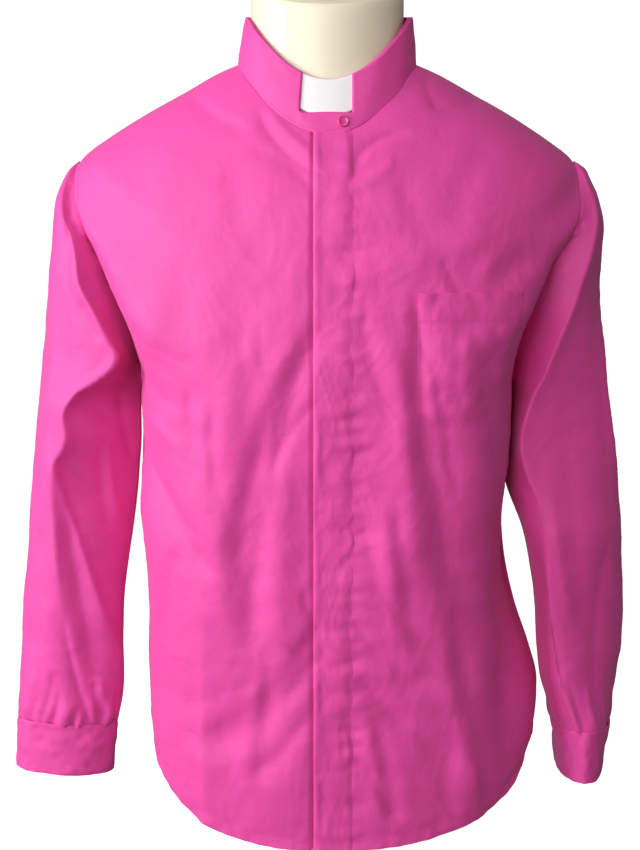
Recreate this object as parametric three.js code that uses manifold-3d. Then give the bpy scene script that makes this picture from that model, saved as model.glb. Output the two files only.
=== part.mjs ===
// A clergy shirt of fuchsia poplin on a limbless dress form: tunnel collar with a white tab,
// fly front, breast pocket, long sleeves with buttoned cuffs and a curved shirt-tail hem.
// Millimetres, +Z up, the shirt's front faces -Y, and the origin is under the stand's base.
import * as THREE from "three";
import Module from "manifold-3d";
import { mergeVertices } from "three/addons/utils/BufferGeometryUtils.js";

// Driving dimensions of the cloth
const CLOTH = 1.2; // wall of one layer of the model's cloth
const SEAM = 0.3; // gap between pieces at a seam
const ARMHOLE_GAP = 0.7; // how far the sleeves stand off the armholes
const PLACKET = { left: -13.2, right: 28.4, below: 1.6, gap: 0.4 }; // fly front, edges across the chest
const UNDERLAP = { reach: 15, set: 3.6, from: -23.5, to: -14.5 }; // right front where it lies under the left
const POCKET = { left: 85, width: 104, top: 668, bottom: 541, corner: 15, gap: 0.9 };
const CUFF = { wall: 2.2, height: 53.5, lip: 0.5 };
const COLLAR = {
  frontLow: 816, frontHigh: 867.5, // heights of the band's lower and upper edge at the centre front
  sideLow: 883, sideHigh: 929,
  backLow: 890, backHigh: 938,
  halfLow: 87, halfHigh: 81, shift: 1.8, // half widths, and how far the upper edge leans to the left
  depthFrontLow: 76, depthFrontHigh: 63,
  depthBackLow: 61, depthBackHigh: 57,
};
const TAB = { left: -26.5, right: 24, low: 838.5, wall: 0.9, tuck: 15 };
const OUTER = 0.4; // the outer band's face, from the neckline
const INNER = OUTER - CLOTH - 3 * SEAM - TAB.wall; // the inner band's face
const BUTTON = { radius: 5.6, height: 2.2, hole: 0.9, spread: 1.7, across: 14.5, share: 0.18 };
const NECK_RINGS = 5; // the form's rings that are plain ellipses
const BODY_POWER = 0.92; // how square the form is below them
const STAND = { base: 150, plate: 9, pole: 12.5, socket: 24, socketHeight: 26, flange: 34, gap: 0.3 };

// Colours and finishes
const FUCHSIA = new THREE.Color(0xe4509f);
const paint = (color, roughness, metalness = 0) =>
  new THREE.MeshStandardMaterial({ color, roughness, metalness });
const poplin = paint(FUCHSIA, 0.82);
const whitePlastic = paint(0xf6f4f8, 0.35);
const dyedButton = paint(0xd84a92, 0.4);
const creamShell = paint(0xf3ead6, 0.45);
const steel = paint(0xb9bcc0, 0.3, 1);

// Rings of the two fronts, from the neckline to the hem: the centre front's depth and height, and the
// point where the ring ends on the shoulder seam, the armhole or the side seam. turn is the share of a
// quarter turn that the ring makes, square its corner, and rise how it climbs to its end.
const FRONT_RINGS = [
  { y: -76, z: 816, rx: 87, lx: 87, ey: 0, ez: 883, turn: 1, square: 2, rise: 1 },
  { y: -88, z: 791, rx: 110, lx: 110, ey: 2, ez: 873, turn: 1, square: 2, rise: 1 },
  { y: -99, z: 761, rx: 142, lx: 143, ey: 3, ez: 855, turn: 1, square: 2, rise: 1 },
  { y: -107, z: 731, rx: 182, lx: 182, ey: 4, ez: 833, turn: 1, square: 2.05, rise: 1 },
  { y: -112, z: 704, rx: 219, lx: 218, ey: 4, ez: 810, turn: 0.97, square: 2.1, rise: 0.95 },
  { y: -116, z: 683, rx: 244, lx: 243, ey: 1, ez: 789, turn: 0.92, square: 2.1, rise: 0.9 },
  { y: -118, z: 661, rx: 248, lx: 248, ey: -16, ez: 762, turn: 0.78, square: 2.1, rise: 0.8 },
  { y: -120, z: 639, rx: 241, lx: 246, ey: -32, ez: 735, turn: 0.72, square: 2.2, rise: 0.7 },
  { y: -121, z: 618, rx: 227, lx: 230, ey: -36, ez: 706, turn: 0.8, square: 2.5, rise: 0.6 },
  { y: -122, z: 598, rx: 211, lx: 211, ey: -32, ez: 678, turn: 0.96, square: 2.7, rise: 0.5 },
  { y: -122, z: 578, rx: 198, lx: 196, ey: -22, ez: 650, turn: 1, square: 2.8, rise: 0.4 },
  { y: -122, z: 558, rx: 190, lx: 188, ey: -9, ez: 622, turn: 1, square: 2.9, rise: 0.3 },
  { y: -121, z: 538, rx: 187, lx: 184, ey: 1, ez: 596, turn: 1, square: 3, rise: 0.2 },
  { y: -120, z: 520, rx: 185, lx: 184, ey: 8, ez: 573, turn: 1, square: 3.1, rise: 0.1 },
  { y: -118, z: 474, rx: 187, lx: 183, ey: 8, ez: 518, turn: 1, square: 3.1, rise: 0 },
  { y: -117, z: 424, rx: 188, lx: 178, ey: 8, ez: 460, turn: 1, square: 3.1, rise: 0 },
  { y: -116, z: 368, rx: 183, lx: 181, ey: 8, ez: 402, turn: 1, square: 2.9, rise: 0 },
  { y: -115, z: 310, rx: 182, lx: 192, ey: 8, ez: 348, turn: 1, square: 2.6, rise: 0 },
  { y: -114, z: 248, rx: 184, lx: 208, ey: 9, ez: 300, turn: 1, square: 2.4, rise: 0 },
  { y: -113, z: 183, rx: 184, lx: 218, ey: 10, ez: 264, turn: 1, square: 2.4, rise: 0 },
  { y: -112, z: 119, rx: 182, lx: 214, ey: 10, ez: 236, turn: 1, square: 2.3, rise: 0 },
];
const TIP = 5; // the ring that ends at the shoulder tip
const UNDERARM = 13; // the ring that ends at the underarm
const HEM = 20;

// Rings of the back, whose ends are those of the fronts except along the armhole.
const BACK_RINGS = [
  { y: 61, z: 890, turn: 1, square: 2, rise: 1 },
  { y: 74, z: 873, turn: 1, square: 2, rise: 1 },
  { y: 88, z: 851, turn: 1, square: 2, rise: 1 },
  { y: 99, z: 825, turn: 1, square: 2.05, rise: 1 },
  { y: 106, z: 799, turn: 1, square: 2.1, rise: 1 },
  { y: 110, z: 776, turn: 1, square: 2.1, rise: 1 },
  { y: 113, z: 752, ex: 249, ey: 30, turn: 0.8, square: 2.1, rise: 1 },
  { y: 115, z: 728, ex: 250, ey: 46, turn: 0.75, square: 2.1, rise: 1 },
  { y: 117, z: 702, ex: 247, ey: 54, turn: 0.8, square: 2.1, rise: 1 },
  { y: 118, z: 676, ex: 238, ey: 54, turn: 0.9, square: 2.2, rise: 1 },
  { y: 118, z: 650, ex: 223, ey: 47, turn: 0.96, square: 2.3, rise: 1 },
  { y: 117, z: 622, ex: 207, ey: 36, turn: 1, square: 2.3, rise: 0.8 },
  { y: 116, z: 594, ex: 194, ey: 22, turn: 1, square: 2.3, rise: 0.5 },
  { y: 115, z: 566, turn: 1, square: 2.3, rise: 0.2 },
  { y: 113, z: 515, turn: 1, square: 2.3, rise: 0 },
  { y: 112, z: 458, turn: 1, square: 2.3, rise: 0 },
  { y: 112, z: 398, turn: 1, square: 2.3, rise: 0 },
  { y: 113, z: 335, turn: 1, square: 2.3, rise: 0 },
  { y: 114, z: 264, turn: 1, square: 2.3, rise: 0 },
  { y: 115, z: 186, turn: 1, square: 2.3, rise: 0 },
  { y: 115, z: 102, turn: 1, square: 2.2, rise: 0 },
];
const YOKE_RING = 3.3; // where the yoke ends on the back

// Sleeve rows, from the shoulder tip to the cuff: the outer edge, the height where the row meets the
// armhole or the inner edge of the tube, the front's ridge and how sharply it is creased, and the
// crown of the back. Down to the underarm a row starts and ends on the armhole.
const RIGHT_SLEEVE = [
  { ox: -245.2, oz: 789.8, sz: 787.8, fx: -245, fy: 2, crease: 0, bx: -245, by: 7 },
  { ox: -255, oz: 782, sz: 772, fx: -252.5, fy: -7, crease: 0, bx: -249, by: 25 },
  { ox: -262, oz: 769, sz: 756, fx: -257, fy: -16, crease: 0, bx: -252, by: 38 },
  { ox: -268, oz: 752, sz: 735, fx: -256, fy: -32, crease: 0, bx: -254, by: 50 },
  { ox: -271, oz: 732, sz: 712, fx: -247, fy: -50, crease: 0.2, bx: -255, by: 58 },
  { ox: -273.5, oz: 708, sz: 690, fx: -242, fy: -62, crease: 0.5, bx: -254, by: 62 },
  { ox: -276.5, oz: 680, sz: 668, fx: -239, fy: -66, crease: 0.7, bx: -252, by: 63 },
  { ox: -280, oz: 652, sz: 645, fx: -226, fy: -69, crease: 0.8, bx: -250, by: 63 },
  { ox: -283, oz: 628, sz: 622, fx: -214, fy: -71, crease: 0.85, bx: -248, by: 62 },
  { ox: -286, oz: 603, sz: 598, fx: -204, fy: -72, crease: 0.95, bx: -246, by: 61 },
  { ox: -288, oz: 581, sz: 573, fx: -230, fy: -67, crease: 0.95, bx: -245, by: 60 },
  { ox: -290, oz: 560, ix: -188.5, iy: 4, fx: -250, fy: -62, crease: 0.9, bx: -244, by: 59 },
  { ox: -291.5, oz: 543, ix: -189, iy: 2, fx: -258, fy: -58, crease: 0.85, bx: -244, by: 58 },
  { ox: -294, oz: 518, ix: -189, iy: 0, fx: -257, fy: -57, crease: 0.75, bx: -245, by: 56 },
  { ox: -297, oz: 491, ix: -191, iy: 0, fx: -270, fy: -53, crease: 0.7, bx: -246, by: 54 },
  { ox: -300, oz: 460, ix: -193.5, iy: -2, fx: -272, fy: -50, crease: 0.6, bx: -248, by: 51 },
  { ox: -303, oz: 428, ix: -197, iy: -4, fx: -271, fy: -48, crease: 0.5, bx: -251, by: 47 },
  { ox: -306.5, oz: 388, ix: -203, iy: -6, fx: -269, fy: -47, crease: 0.4, bx: -254, by: 42 },
  { ox: -311, oz: 345, ix: -208, iy: -8, fx: -266, fy: -46, crease: 0.2, bx: -258, by: 36 },
  { ox: -314, oz: 305, ix: -209, iy: -10, fx: -262, fy: -44, crease: 0.15, bx: -261, by: 31 },
  { ox: -316, oz: 270, ix: -208.5, iy: -11, fx: -258, fy: -42, crease: 0.1, bx: -263, by: 26 },
  { ox: -317.5, oz: 245, ix: -211, iy: -12, fx: -256, fy: -40, crease: 0.1, bx: -264, by: 20 },
  { ox: -319, oz: 223, ix: -216, iy: -12, fx: -260, fy: -36, crease: 0, bx: -266, by: 14 },
];
const LEFT_SLEEVE = [
  { ox: 244.4, oz: 789.8, sz: 787.8, fx: 244.2, fy: 2, crease: 0, bx: 244.2, by: 7 },
  { ox: 256, oz: 781.5, sz: 772, fx: 252.5, fy: -8, crease: 0.7, bx: 249, by: 25 },
  { ox: 263, oz: 768, sz: 756, fx: 257.5, fy: -13, crease: 0.8, bx: 252, by: 38 },
  { ox: 270, oz: 752, sz: 735, fx: 263, fy: -19, crease: 0.9, bx: 254, by: 50 },
  { ox: 274, oz: 732, sz: 712, fx: 263, fy: -28, crease: 0.95, bx: 255, by: 58 },
  { ox: 273, oz: 706, sz: 690, fx: 257, fy: -37, crease: 0.95, bx: 254, by: 62 },
  { ox: 272, oz: 680, sz: 668, fx: 249, fy: -41, crease: 0.95, bx: 252, by: 64 },
  { ox: 272.5, oz: 653, sz: 645, fx: 241, fy: -42, crease: 1, bx: 250, by: 65 },
  { ox: 275.5, oz: 628, sz: 622, fx: 231, fy: -43, crease: 1, bx: 247, by: 65 },
  { ox: 279, oz: 603, sz: 598, fx: 221, fy: -42, crease: 1, bx: 244, by: 65 },
  { ox: 282, oz: 580, sz: 573, fx: 211, fy: -42, crease: 1, bx: 242, by: 65 },
  { ox: 285, oz: 560, ix: 184.5, iy: 20, fx: 203, fy: -42, crease: 0.95, bx: 241, by: 64 },
  { ox: 288, oz: 540, ix: 183, iy: 34, fx: 196, fy: -43, crease: 0.85, bx: 240, by: 63 },
  { ox: 291, oz: 515, ix: 183, iy: 38, fx: 191, fy: -45, crease: 0.7, bx: 240, by: 62 },
  { ox: 294, oz: 487, ix: 180.5, iy: 34, fx: 196, fy: -49, crease: 0.5, bx: 242, by: 61 },
  { ox: 296, oz: 460, ix: 184.5, iy: 14, fx: 208, fy: -53, crease: 0.3, bx: 244, by: 60 },
  { ox: 299, oz: 428, ix: 196.5, iy: -14, fx: 218, fy: -58, crease: 0.1, bx: 247, by: 59 },
  { ox: 302, oz: 388, ix: 206.5, iy: -12, fx: 220, fy: -57, crease: 0.25, bx: 251, by: 58 },
  { ox: 305, oz: 345, ix: 213.5, iy: -9, fx: 221, fy: -56, crease: 0.4, bx: 255, by: 57 },
  { ox: 303, oz: 304, ix: 215.5, iy: -6, fx: 226, fy: -57, crease: 0.5, bx: 257, by: 56 },
  { ox: 298, oz: 266, ix: 220, iy: -4, fx: 234, fy: -59, crease: 0.4, bx: 259, by: 54 },
  { ox: 294.5, oz: 243, ix: 227, iy: -4, fx: 243, fy: -60, crease: 0.2, bx: 260, by: 52 },
  { ox: 292, oz: 223, ix: 232.5, iy: -4, fx: 256, fy: -60, crease: 0, bx: 261, by: 51 },
];
// How flat a sleeve is from its ridge to its outer edge where the ridge is creased.
const FLAT = { right: 0.2, left: 0.8 };

// Cuffs: centre, half width and half depth at the upper and lower edge, and the lower edge's tilt.
const RIGHT_CUFF = { x: -267.5, xLow: -272, y: -11, a: 51, aLow: 49.6, b: 25, tilt: -0.055 };
const LEFT_CUFF = { x: 262.4, xLow: 261.5, y: -4.5, a: 29.5, aLow: 22.5, b: 55.5, tilt: 0 };
const CUFF_TOP = 221.5;

// The largest folds of the fronts and the back as seen from the front: from x0,z0 to x1,z1, bowed
// sideways, with their half widths at each end, and their height: a ridge is positive. A step is high
// on one side of its line and low on the other.
const FRONT_FOLDS = [
  { x0: -14, z0: 640, x1: -68, z1: 505, bow: -6, w0: 12, w1: 16, h: -1.5 },
  { x0: -66, z0: 520, x1: -84, z1: 330, bow: -4, w0: 16, w1: 26, h: -4.5 },
  { x0: -96, z0: 560, x1: -116, z1: 300, bow: 8, w0: 18, w1: 30, h: 4 },
  { x0: -176, z0: 520, x1: -122, z1: 410, bow: 6, w0: 14, w1: 22, h: -4 },
  { x0: -18, z0: 330, x1: -112, z1: 232, bow: -8, w0: 12, w1: 26, h: -4.5 },
  { x0: -120, z0: 340, x1: -118, z1: 140, bow: 0, w0: 14, w1: 14, h: 2.5 },
  { x0: -50, z0: 470, x1: -30, z1: 200, bow: 6, w0: 18, w1: 30, h: 3.5 },
  { x0: 84, z0: 650, x1: 80, z1: 560, bow: -6, w0: 9, w1: 15, h: -3 },
  { x0: 80, z0: 590, x1: 128, z1: 330, bow: -8, w0: 16, w1: 26, h: -1.5 },
  { x0: 62, z0: 600, x1: 74, z1: 400, bow: -6, w0: 14, w1: 22, h: 4 },
  { x0: 130, z0: 600, x1: 152, z1: 450, bow: -4, w0: 14, w1: 22, h: 4 },
  { x0: 158, z0: 620, x1: 172, z1: 430, bow: 6, w0: 12, w1: 18, h: -1.5 },
  { x0: 40, z0: 285, x1: 132, z1: 205, bow: 4, w0: 10, w1: 16, h: -4 },
  { x0: 150, z0: 300, x1: 140, z1: 150, bow: 0, w0: 16, w1: 16, h: 4 },
  { x0: 176, z0: 380, x1: 186, z1: 200, bow: 0, w0: 16, w1: 18, h: -6 },
  { x0: -64, z0: 800, x1: -14, z1: 765, bow: -5, w0: 9, w1: 9, h: -2 },
  { x0: -12, z0: 640, x1: -92, z1: 430, bow: 20, w0: 16, w1: 24, h: 3, step: true },
  { x0: 80, z0: 640, x1: 132, z1: 330, bow: 14, w0: 12, w1: 22, h: 2.2, step: true },
];
const BACK_FOLDS = [
  { x0: -60, z0: 700, x1: -84, z1: 200, bow: 8, w0: 18, w1: 34, h: -8 },
  { x0: -110, z0: 640, x1: -128, z1: 230, bow: -8, w0: 18, w1: 30, h: 8 },
  { x0: 48, z0: 690, x1: 60, z1: 200, bow: -10, w0: 20, w1: 34, h: -9 },
  { x0: 104, z0: 650, x1: 132, z1: 240, bow: 8, w0: 18, w1: 32, h: 8 },
  { x0: -6, z0: 600, x1: -10, z1: 180, bow: 6, w0: 20, w1: 30, h: 6 },
  { x0: -170, z0: 500, x1: -110, z1: 400, bow: 6, w0: 14, w1: 24, h: -6 },
  { x0: 166, z0: 510, x1: 116, z1: 400, bow: -6, w0: 14, w1: 24, h: -6 },
  { x0: -180, z0: 690, x1: -120, z1: 560, bow: 6, w0: 14, w1: 20, h: -6 },
  { x0: 184, z0: 690, x1: 126, z1: 560, bow: -6, w0: 14, w1: 20, h: -6 },
];
const RIGHT_SLEEVE_FOLDS = [
  { x0: -266, z0: 478, x1: -212, z1: 285, bow: 0, w0: 6, w1: 8, h: 5 },
  { x0: -258, z0: 440, x1: -236, z1: 285, bow: 0, w0: 8, w1: 11, h: -4 },
];

// Rings of the dress form, from the neck's upper face to its flat foot, as front, side and back.
const FORM_RINGS = [
  { fy: -51, fz: 938, sx: 72, sy: 0, sz: 950, by: 49, bz: 962 },
  { fy: -55, fz: 932, sx: 74.5, sy: 0, sz: 944, by: 51, bz: 956 },
  { fy: -56, fz: 898, sx: 74.5, sy: 0, sz: 915, by: 51, bz: 925 },
  { fy: -57.5, fz: 868, sx: 75.5, sy: 0, sz: 895, by: 52, bz: 904 },
  { fy: -66, fz: 822, sx: 80.5, sy: 0, sz: 878, by: 54, bz: 880 },
  { fy: -82, fz: 786, sx: 107.6, sy: 2, sz: 868.5, by: 68, bz: 865 },
  { fy: -92, fz: 755, sx: 140, sy: 3, sz: 850, by: 80, bz: 843 },
  { fy: -99, fz: 724, sx: 180, sy: 4, sz: 827, by: 91, bz: 818 },
  { fy: -103, fz: 698, sx: 209, sy: 4, sz: 804, by: 98, bz: 793 },
  { fy: -106, fz: 676, sx: 223, sy: 4, sz: 785, by: 101, bz: 770 },
  { fy: -107, fz: 655, sx: 227, sy: 4, sz: 762, by: 103, bz: 744 },
  { fy: -107, fz: 630, sx: 222, sy: 4, sz: 730, by: 105, bz: 715 },
  { fy: -108, fz: 604, sx: 213, sy: 4, sz: 695, by: 106, bz: 684 },
  { fy: -108, fz: 575, sx: 186, sy: 4, sz: 650, by: 105, bz: 645 },
  { fy: -107, fz: 545, sx: 171, sy: 4, sz: 600, by: 102, bz: 600 },
  { fy: -103, fz: 505, sx: 163, sy: 3, sz: 540, by: 98, bz: 540 },
  { fy: -97, fz: 450, sx: 156, sy: 0, sz: 470, by: 90, bz: 470 },
  { fy: -94, fz: 400, sx: 155, sy: 0, sz: 405, by: 86, bz: 405 },
  { fy: -95, fz: 345, sx: 160, sy: 0, sz: 345, by: 92, bz: 345 },
  { fy: -97, fz: 290, sx: 164, sy: 0, sz: 290, by: 98, bz: 290 },
  { fy: -96, fz: 252, sx: 163, sy: 0, sz: 252, by: 98, bz: 252 },
  { fy: -91, fz: 244, sx: 158, sy: 0, sz: 244, by: 93, bz: 244 },
];

// Sampling of the grids, and of a cell where the pocket is checked against its front
const GRID = { frontColumns: 14, backColumns: 18, sleeveSegment: 4, cuffColumns: 24, formColumns: 28 };
const COLLAR_GRID = { columns: 32, levels: [0.02, 0.35, 0.68, 1], top: 0.985 };
const POCKET_GRID = { columns: 8, rows: 8, along: 60, rounds: 3 };
const RING_SAMPLES = 160;
const RING_POWER = { spacing: 1.3, climb: 1.1 }; // samples close to the centre line, and the level's rise
const SLEEVE_OUTLINE = { y: 2, back: 0.35 }; // where a sleeve's outer line starts, and its drift a row
const ARMHOLE_CREASE = 0.6; // how straight the sleeve leaves the armhole
const CELL_SAMPLES = [0, 0.2, 0.4, 0.6, 0.8, 1].flatMap((u) =>
  [0.1, 0.3, 0.5, 0.7, 0.9].map((v) => [u, v]),
);

const lerp = (a, b, t) => a + (b - a) * t;
const clamp01 = (t) => Math.min(1, Math.max(0, t));
const smooth = (t) => clamp01(t) ** 2 * (3 - 2 * clamp01(t));
const V = (x, y, z) => new THREE.Vector3(x, y, z);

// The value of a table's column at a place between its rows, on a Catmull-Rom curve.
function column(rows, key, place) {
  const last = rows.length - 1;
  const i = Math.min(last - 1, Math.max(0, Math.floor(place)));
  const t = place - i;
  const at = (k) => rows[Math.min(last, Math.max(0, k))][key];
  const [a, b, c, d] = [at(i - 1), at(i), at(i + 1), at(i + 2)];
  return b + 0.5 * t * (c - a + t * (2 * a - 5 * b + 4 * c - d + t * (3 * (b - c) + d - a)));
}

// A row of points spread evenly along a dense curve.
function spread(curve, columns) {
  const run = [0];
  for (let i = 1; i < curve.length; i++) run.push(run[i - 1] + curve[i].distanceTo(curve[i - 1]));
  const total = run[run.length - 1];
  let k = 1;
  return Array.from({ length: columns + 1 }, (_, i) => {
    const want = (total * i) / columns;
    while (k < curve.length - 1 && run[k] < want) k++;
    return curve[k - 1].clone().lerp(curve[k], (want - run[k - 1]) / (run[k] - run[k - 1] || 1));
  });
}

// The ring end that a panel reaches: +1 is the wearer's left, -1 the right, on the front or the back.
function ringEnd(side, place, back) {
  const reach = (rows, key) => column(rows, key, place);
  const x = side * reach(FRONT_RINGS, side > 0 ? "lx" : "rx");
  const front = V(x, reach(FRONT_RINGS, "ey"), reach(FRONT_RINGS, "ez"));
  if (!back || place <= TIP || place >= UNDERARM) return front;
  const armhole = BACK_RINGS.map((row, i) => ({
    ex: row.ex ?? FRONT_RINGS[i][side > 0 ? "lx" : "rx"],
    ey: row.ey ?? FRONT_RINGS[i].ey,
  }));
  return V(side * column(armhole, "ex", place), column(armhole, "ey", place), front.z);
}

// A dense ring from the centre line to its end.
function ring(side, place, back) {
  const rows = back ? BACK_RINGS : FRONT_RINGS;
  const [y, z] = [column(rows, "y", place), column(rows, "z", place)];
  const [turn, square] = [column(rows, "turn", place), column(rows, "square", place)];
  const rise = column(rows, "rise", place);
  const end = ringEnd(side, place, back);
  const power = 2 / square;
  const most = Math.min(1, turn) * (Math.PI / 2);
  const across = (q) => Math.sin(q) ** power / Math.sin(most) ** power;
  const away = (q) => (1 - Math.cos(q) ** power) / (1 - Math.max(0, Math.cos(most)) ** power);
  return Array.from({ length: RING_SAMPLES + 1 }, (_, i) => {
    const q = most * (i / RING_SAMPLES) ** RING_POWER.spacing;
    const a = across(q);
    const b = away(q);
    return V(end.x * a, lerp(y, end.y, b), lerp(z, end.z, lerp(b ** RING_POWER.climb, a * a, rise)));
  });
}

// How far the folds move a point outwards.
function foldHeight(folds, p) {
  let sum = 0;
  for (const f of folds) {
    const [dx, dz] = [f.x1 - f.x0, f.z1 - f.z0];
    const length = Math.hypot(dx, dz);
    const t = ((p.x - f.x0) * dx + (p.z - f.z0) * dz) / (length * length);
    if (t < -0.35 || t > 1.35) continue;
    const bow = f.bow * 4 * t * (1 - t);
    const off = ((p.x - f.x0) * dz - (p.z - f.z0) * dx) / length - bow;
    const width = lerp(f.w0, f.w1, clamp01(t));
    const ends = smooth((t + 0.25) / 0.35) * smooth((1.25 - t) / 0.35);
    const share = off / width;
    sum += f.h * ends * Math.exp(-(share ** 2)) * (f.step ? 2.3 * share : 1);
  }
  return sum;
}

// Outward normals of a grid of points; flip says which side is out.
function normals(grid, flip) {
  const [n, m] = [grid.length - 1, grid[0].length - 1];
  return grid.map((row, i) =>
    row.map((_, j) => {
      const down = grid[Math.min(n, i + 1)][j].clone().sub(grid[Math.max(0, i - 1)][j]);
      const along = row[Math.min(m, j + 1)].clone().sub(row[Math.max(0, j - 1)]);
      return along.cross(down).normalize().multiplyScalar(flip);
    }),
  );
}

// A grid moved along its own normals by a distance, or by a function of the point.
const moved = (grid, ways, distance) =>
  grid.map((row, i) =>
    row.map((p, j) => {
      const by = typeof distance === "function" ? distance(p) : distance;
      return p.clone().addScaledVector(ways[i][j], by);
    }),
  );

// A closed wall between an outer and an inner grid. ringed joins the last column to the first.
function wall(outer, inner, ringed = false) {
  const [n, m] = [outer.length, outer[0].length];
  const points = [...outer.flat(), ...inner.flat()];
  const at = (layer, i, j) => layer * n * m + i * m + (j % m);
  const faces = [];
  const quad = (a, b, c, d) => faces.push([a, b, c], [a, c, d]);
  const columns = ringed ? m : m - 1;
  for (let i = 0; i < n - 1; i++)
    for (let j = 0; j < columns; j++) {
      quad(at(0, i, j), at(0, i + 1, j), at(0, i + 1, j + 1), at(0, i, j + 1));
      quad(at(1, i, j), at(1, i, j + 1), at(1, i + 1, j + 1), at(1, i + 1, j));
    }
  for (let j = 0; j < columns; j++) {
    quad(at(0, 0, j), at(0, 0, j + 1), at(1, 0, j + 1), at(1, 0, j));
    quad(at(0, n - 1, j), at(1, n - 1, j), at(1, n - 1, j + 1), at(0, n - 1, j + 1));
  }
  if (!ringed)
    for (let i = 0; i < n - 1; i++) {
      quad(at(0, i, 0), at(1, i, 0), at(1, i + 1, 0), at(0, i + 1, 0));
      quad(at(0, i, m - 1), at(0, i + 1, m - 1), at(1, i + 1, m - 1), at(1, i, m - 1));
    }
  return solid(points, faces);
}

// A geometry from points and triangles, turned so that its faces point out.
function solid(points, faces) {
  let volume = 0;
  for (const [a, b, c] of faces) volume += points[a].dot(points[b].clone().cross(points[c]));
  const order = volume < 0 ? ([a, b, c]) => [a, c, b] : (f) => f;
  const geometry = new THREE.BufferGeometry();
  const positions = points.flatMap((p) => [p.x, p.y, p.z]);
  geometry.setAttribute("position", new THREE.Float32BufferAttribute(positions, 3));
  geometry.setIndex(faces.flatMap(order));
  geometry.computeVertexNormals();
  return geometry;
}

const group = new THREE.Group();
function add(name, geometry, material) {
  const mesh = new THREE.Mesh(geometry, material);
  mesh.name = name;
  group.add(mesh);
  return mesh;
}

// Places of the rows down a panel: every ring to the underarm, and halves below it.
const rowPlaces = (from, to) => {
  const places = [from];
  for (let p = Math.floor(from) + 1; p < to; p += p < UNDERARM ? 1 : 0.5) places.push(p);
  places.push(to);
  return places;
};

// One front's outer face. Its leading columns stand at given distances across, and the rest are
// spread evenly from the last of those to the side.
function frontGrid(side, leads, places = rowPlaces(0, HEM)) {
  const base = places.map((place) => {
    const half = ring(side, place, false);
    const on = (x) => {
      const k = Math.max(1, half.findIndex((p) => Math.abs(p.x) >= Math.abs(x)));
      const [a, b] = [half[k - 1], half[k]];
      return a.clone().lerp(b, (Math.abs(x) - Math.abs(a.x)) / Math.abs(b.x - a.x)).setX(x);
    };
    const last = leads[leads.length - 1];
    const rest = half.filter((p) => Math.abs(p.x) > Math.abs(last) + 0.5);
    return [...leads.slice(0, -1).map(on), ...spread([on(last), ...rest], GRID.frontColumns)];
  });
  const ways = normals(base, -side);
  return moved(base, ways, (p) => foldHeight(FRONT_FOLDS, p));
}

// Moves a grid's last column back along its own row, to leave a seam's gap.
function trimmed(grid, gap, first = 0) {
  return grid.map((row) => {
    const line = row.map((p) => p.clone());
    const m = line.length - 1;
    const back = line[m - 1].clone().sub(line[m]).setLength(gap);
    line[m].add(back);
    if (first) line[0].add(line[1].clone().sub(line[0]).setLength(first));
    return line;
  });
}

function panel(name, grid, out, material = poplin, thickness = CLOTH) {
  add(name, wall(grid, moved(grid, normals(grid, -out), thickness)), material);
}

// The right front runs on under the fly, set back from it.
function rightFront() {
  const leads = [UNDERLAP.reach, 0, UNDERLAP.to, UNDERLAP.from];
  const grid = trimmed(frontGrid(-1, leads), SEAM);
  const set = grid.map((row) =>
    row.map((p) => {
      const under = smooth((p.x - UNDERLAP.from) / (UNDERLAP.to - UNDERLAP.from));
      return V(p.x, p.y + UNDERLAP.set * under, p.z);
    }),
  );
  panel("front_right", set, 1);
}

const placketColumns = [0, 0.5, 1].map((t) => lerp(PLACKET.left, PLACKET.right, t));
const leftGrid = trimmed(frontGrid(1, placketColumns), SEAM);

// A patch that lies on the left front: its outer and inner faces are the front's points, moved out.
function patch(name, rows, flip, gap, thickness) {
  const ways = normals(rows, flip);
  add(name, wall(moved(rows, ways, gap + thickness), moved(rows, ways, gap)), poplin);
}

// The fly front: a strip over the left front from the neckline to the hem, on its first columns.
function placket() {
  const rows = leftGrid.map((row) => row.slice(0, placketColumns.length).map((p) => p.clone()));
  rows[0].forEach((p, j) => p.lerp(rows[1][j], PLACKET.below / p.distanceTo(rows[1][j])));
  patch("placket", rows, -1, PLACKET.gap, CLOTH);
}

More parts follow.
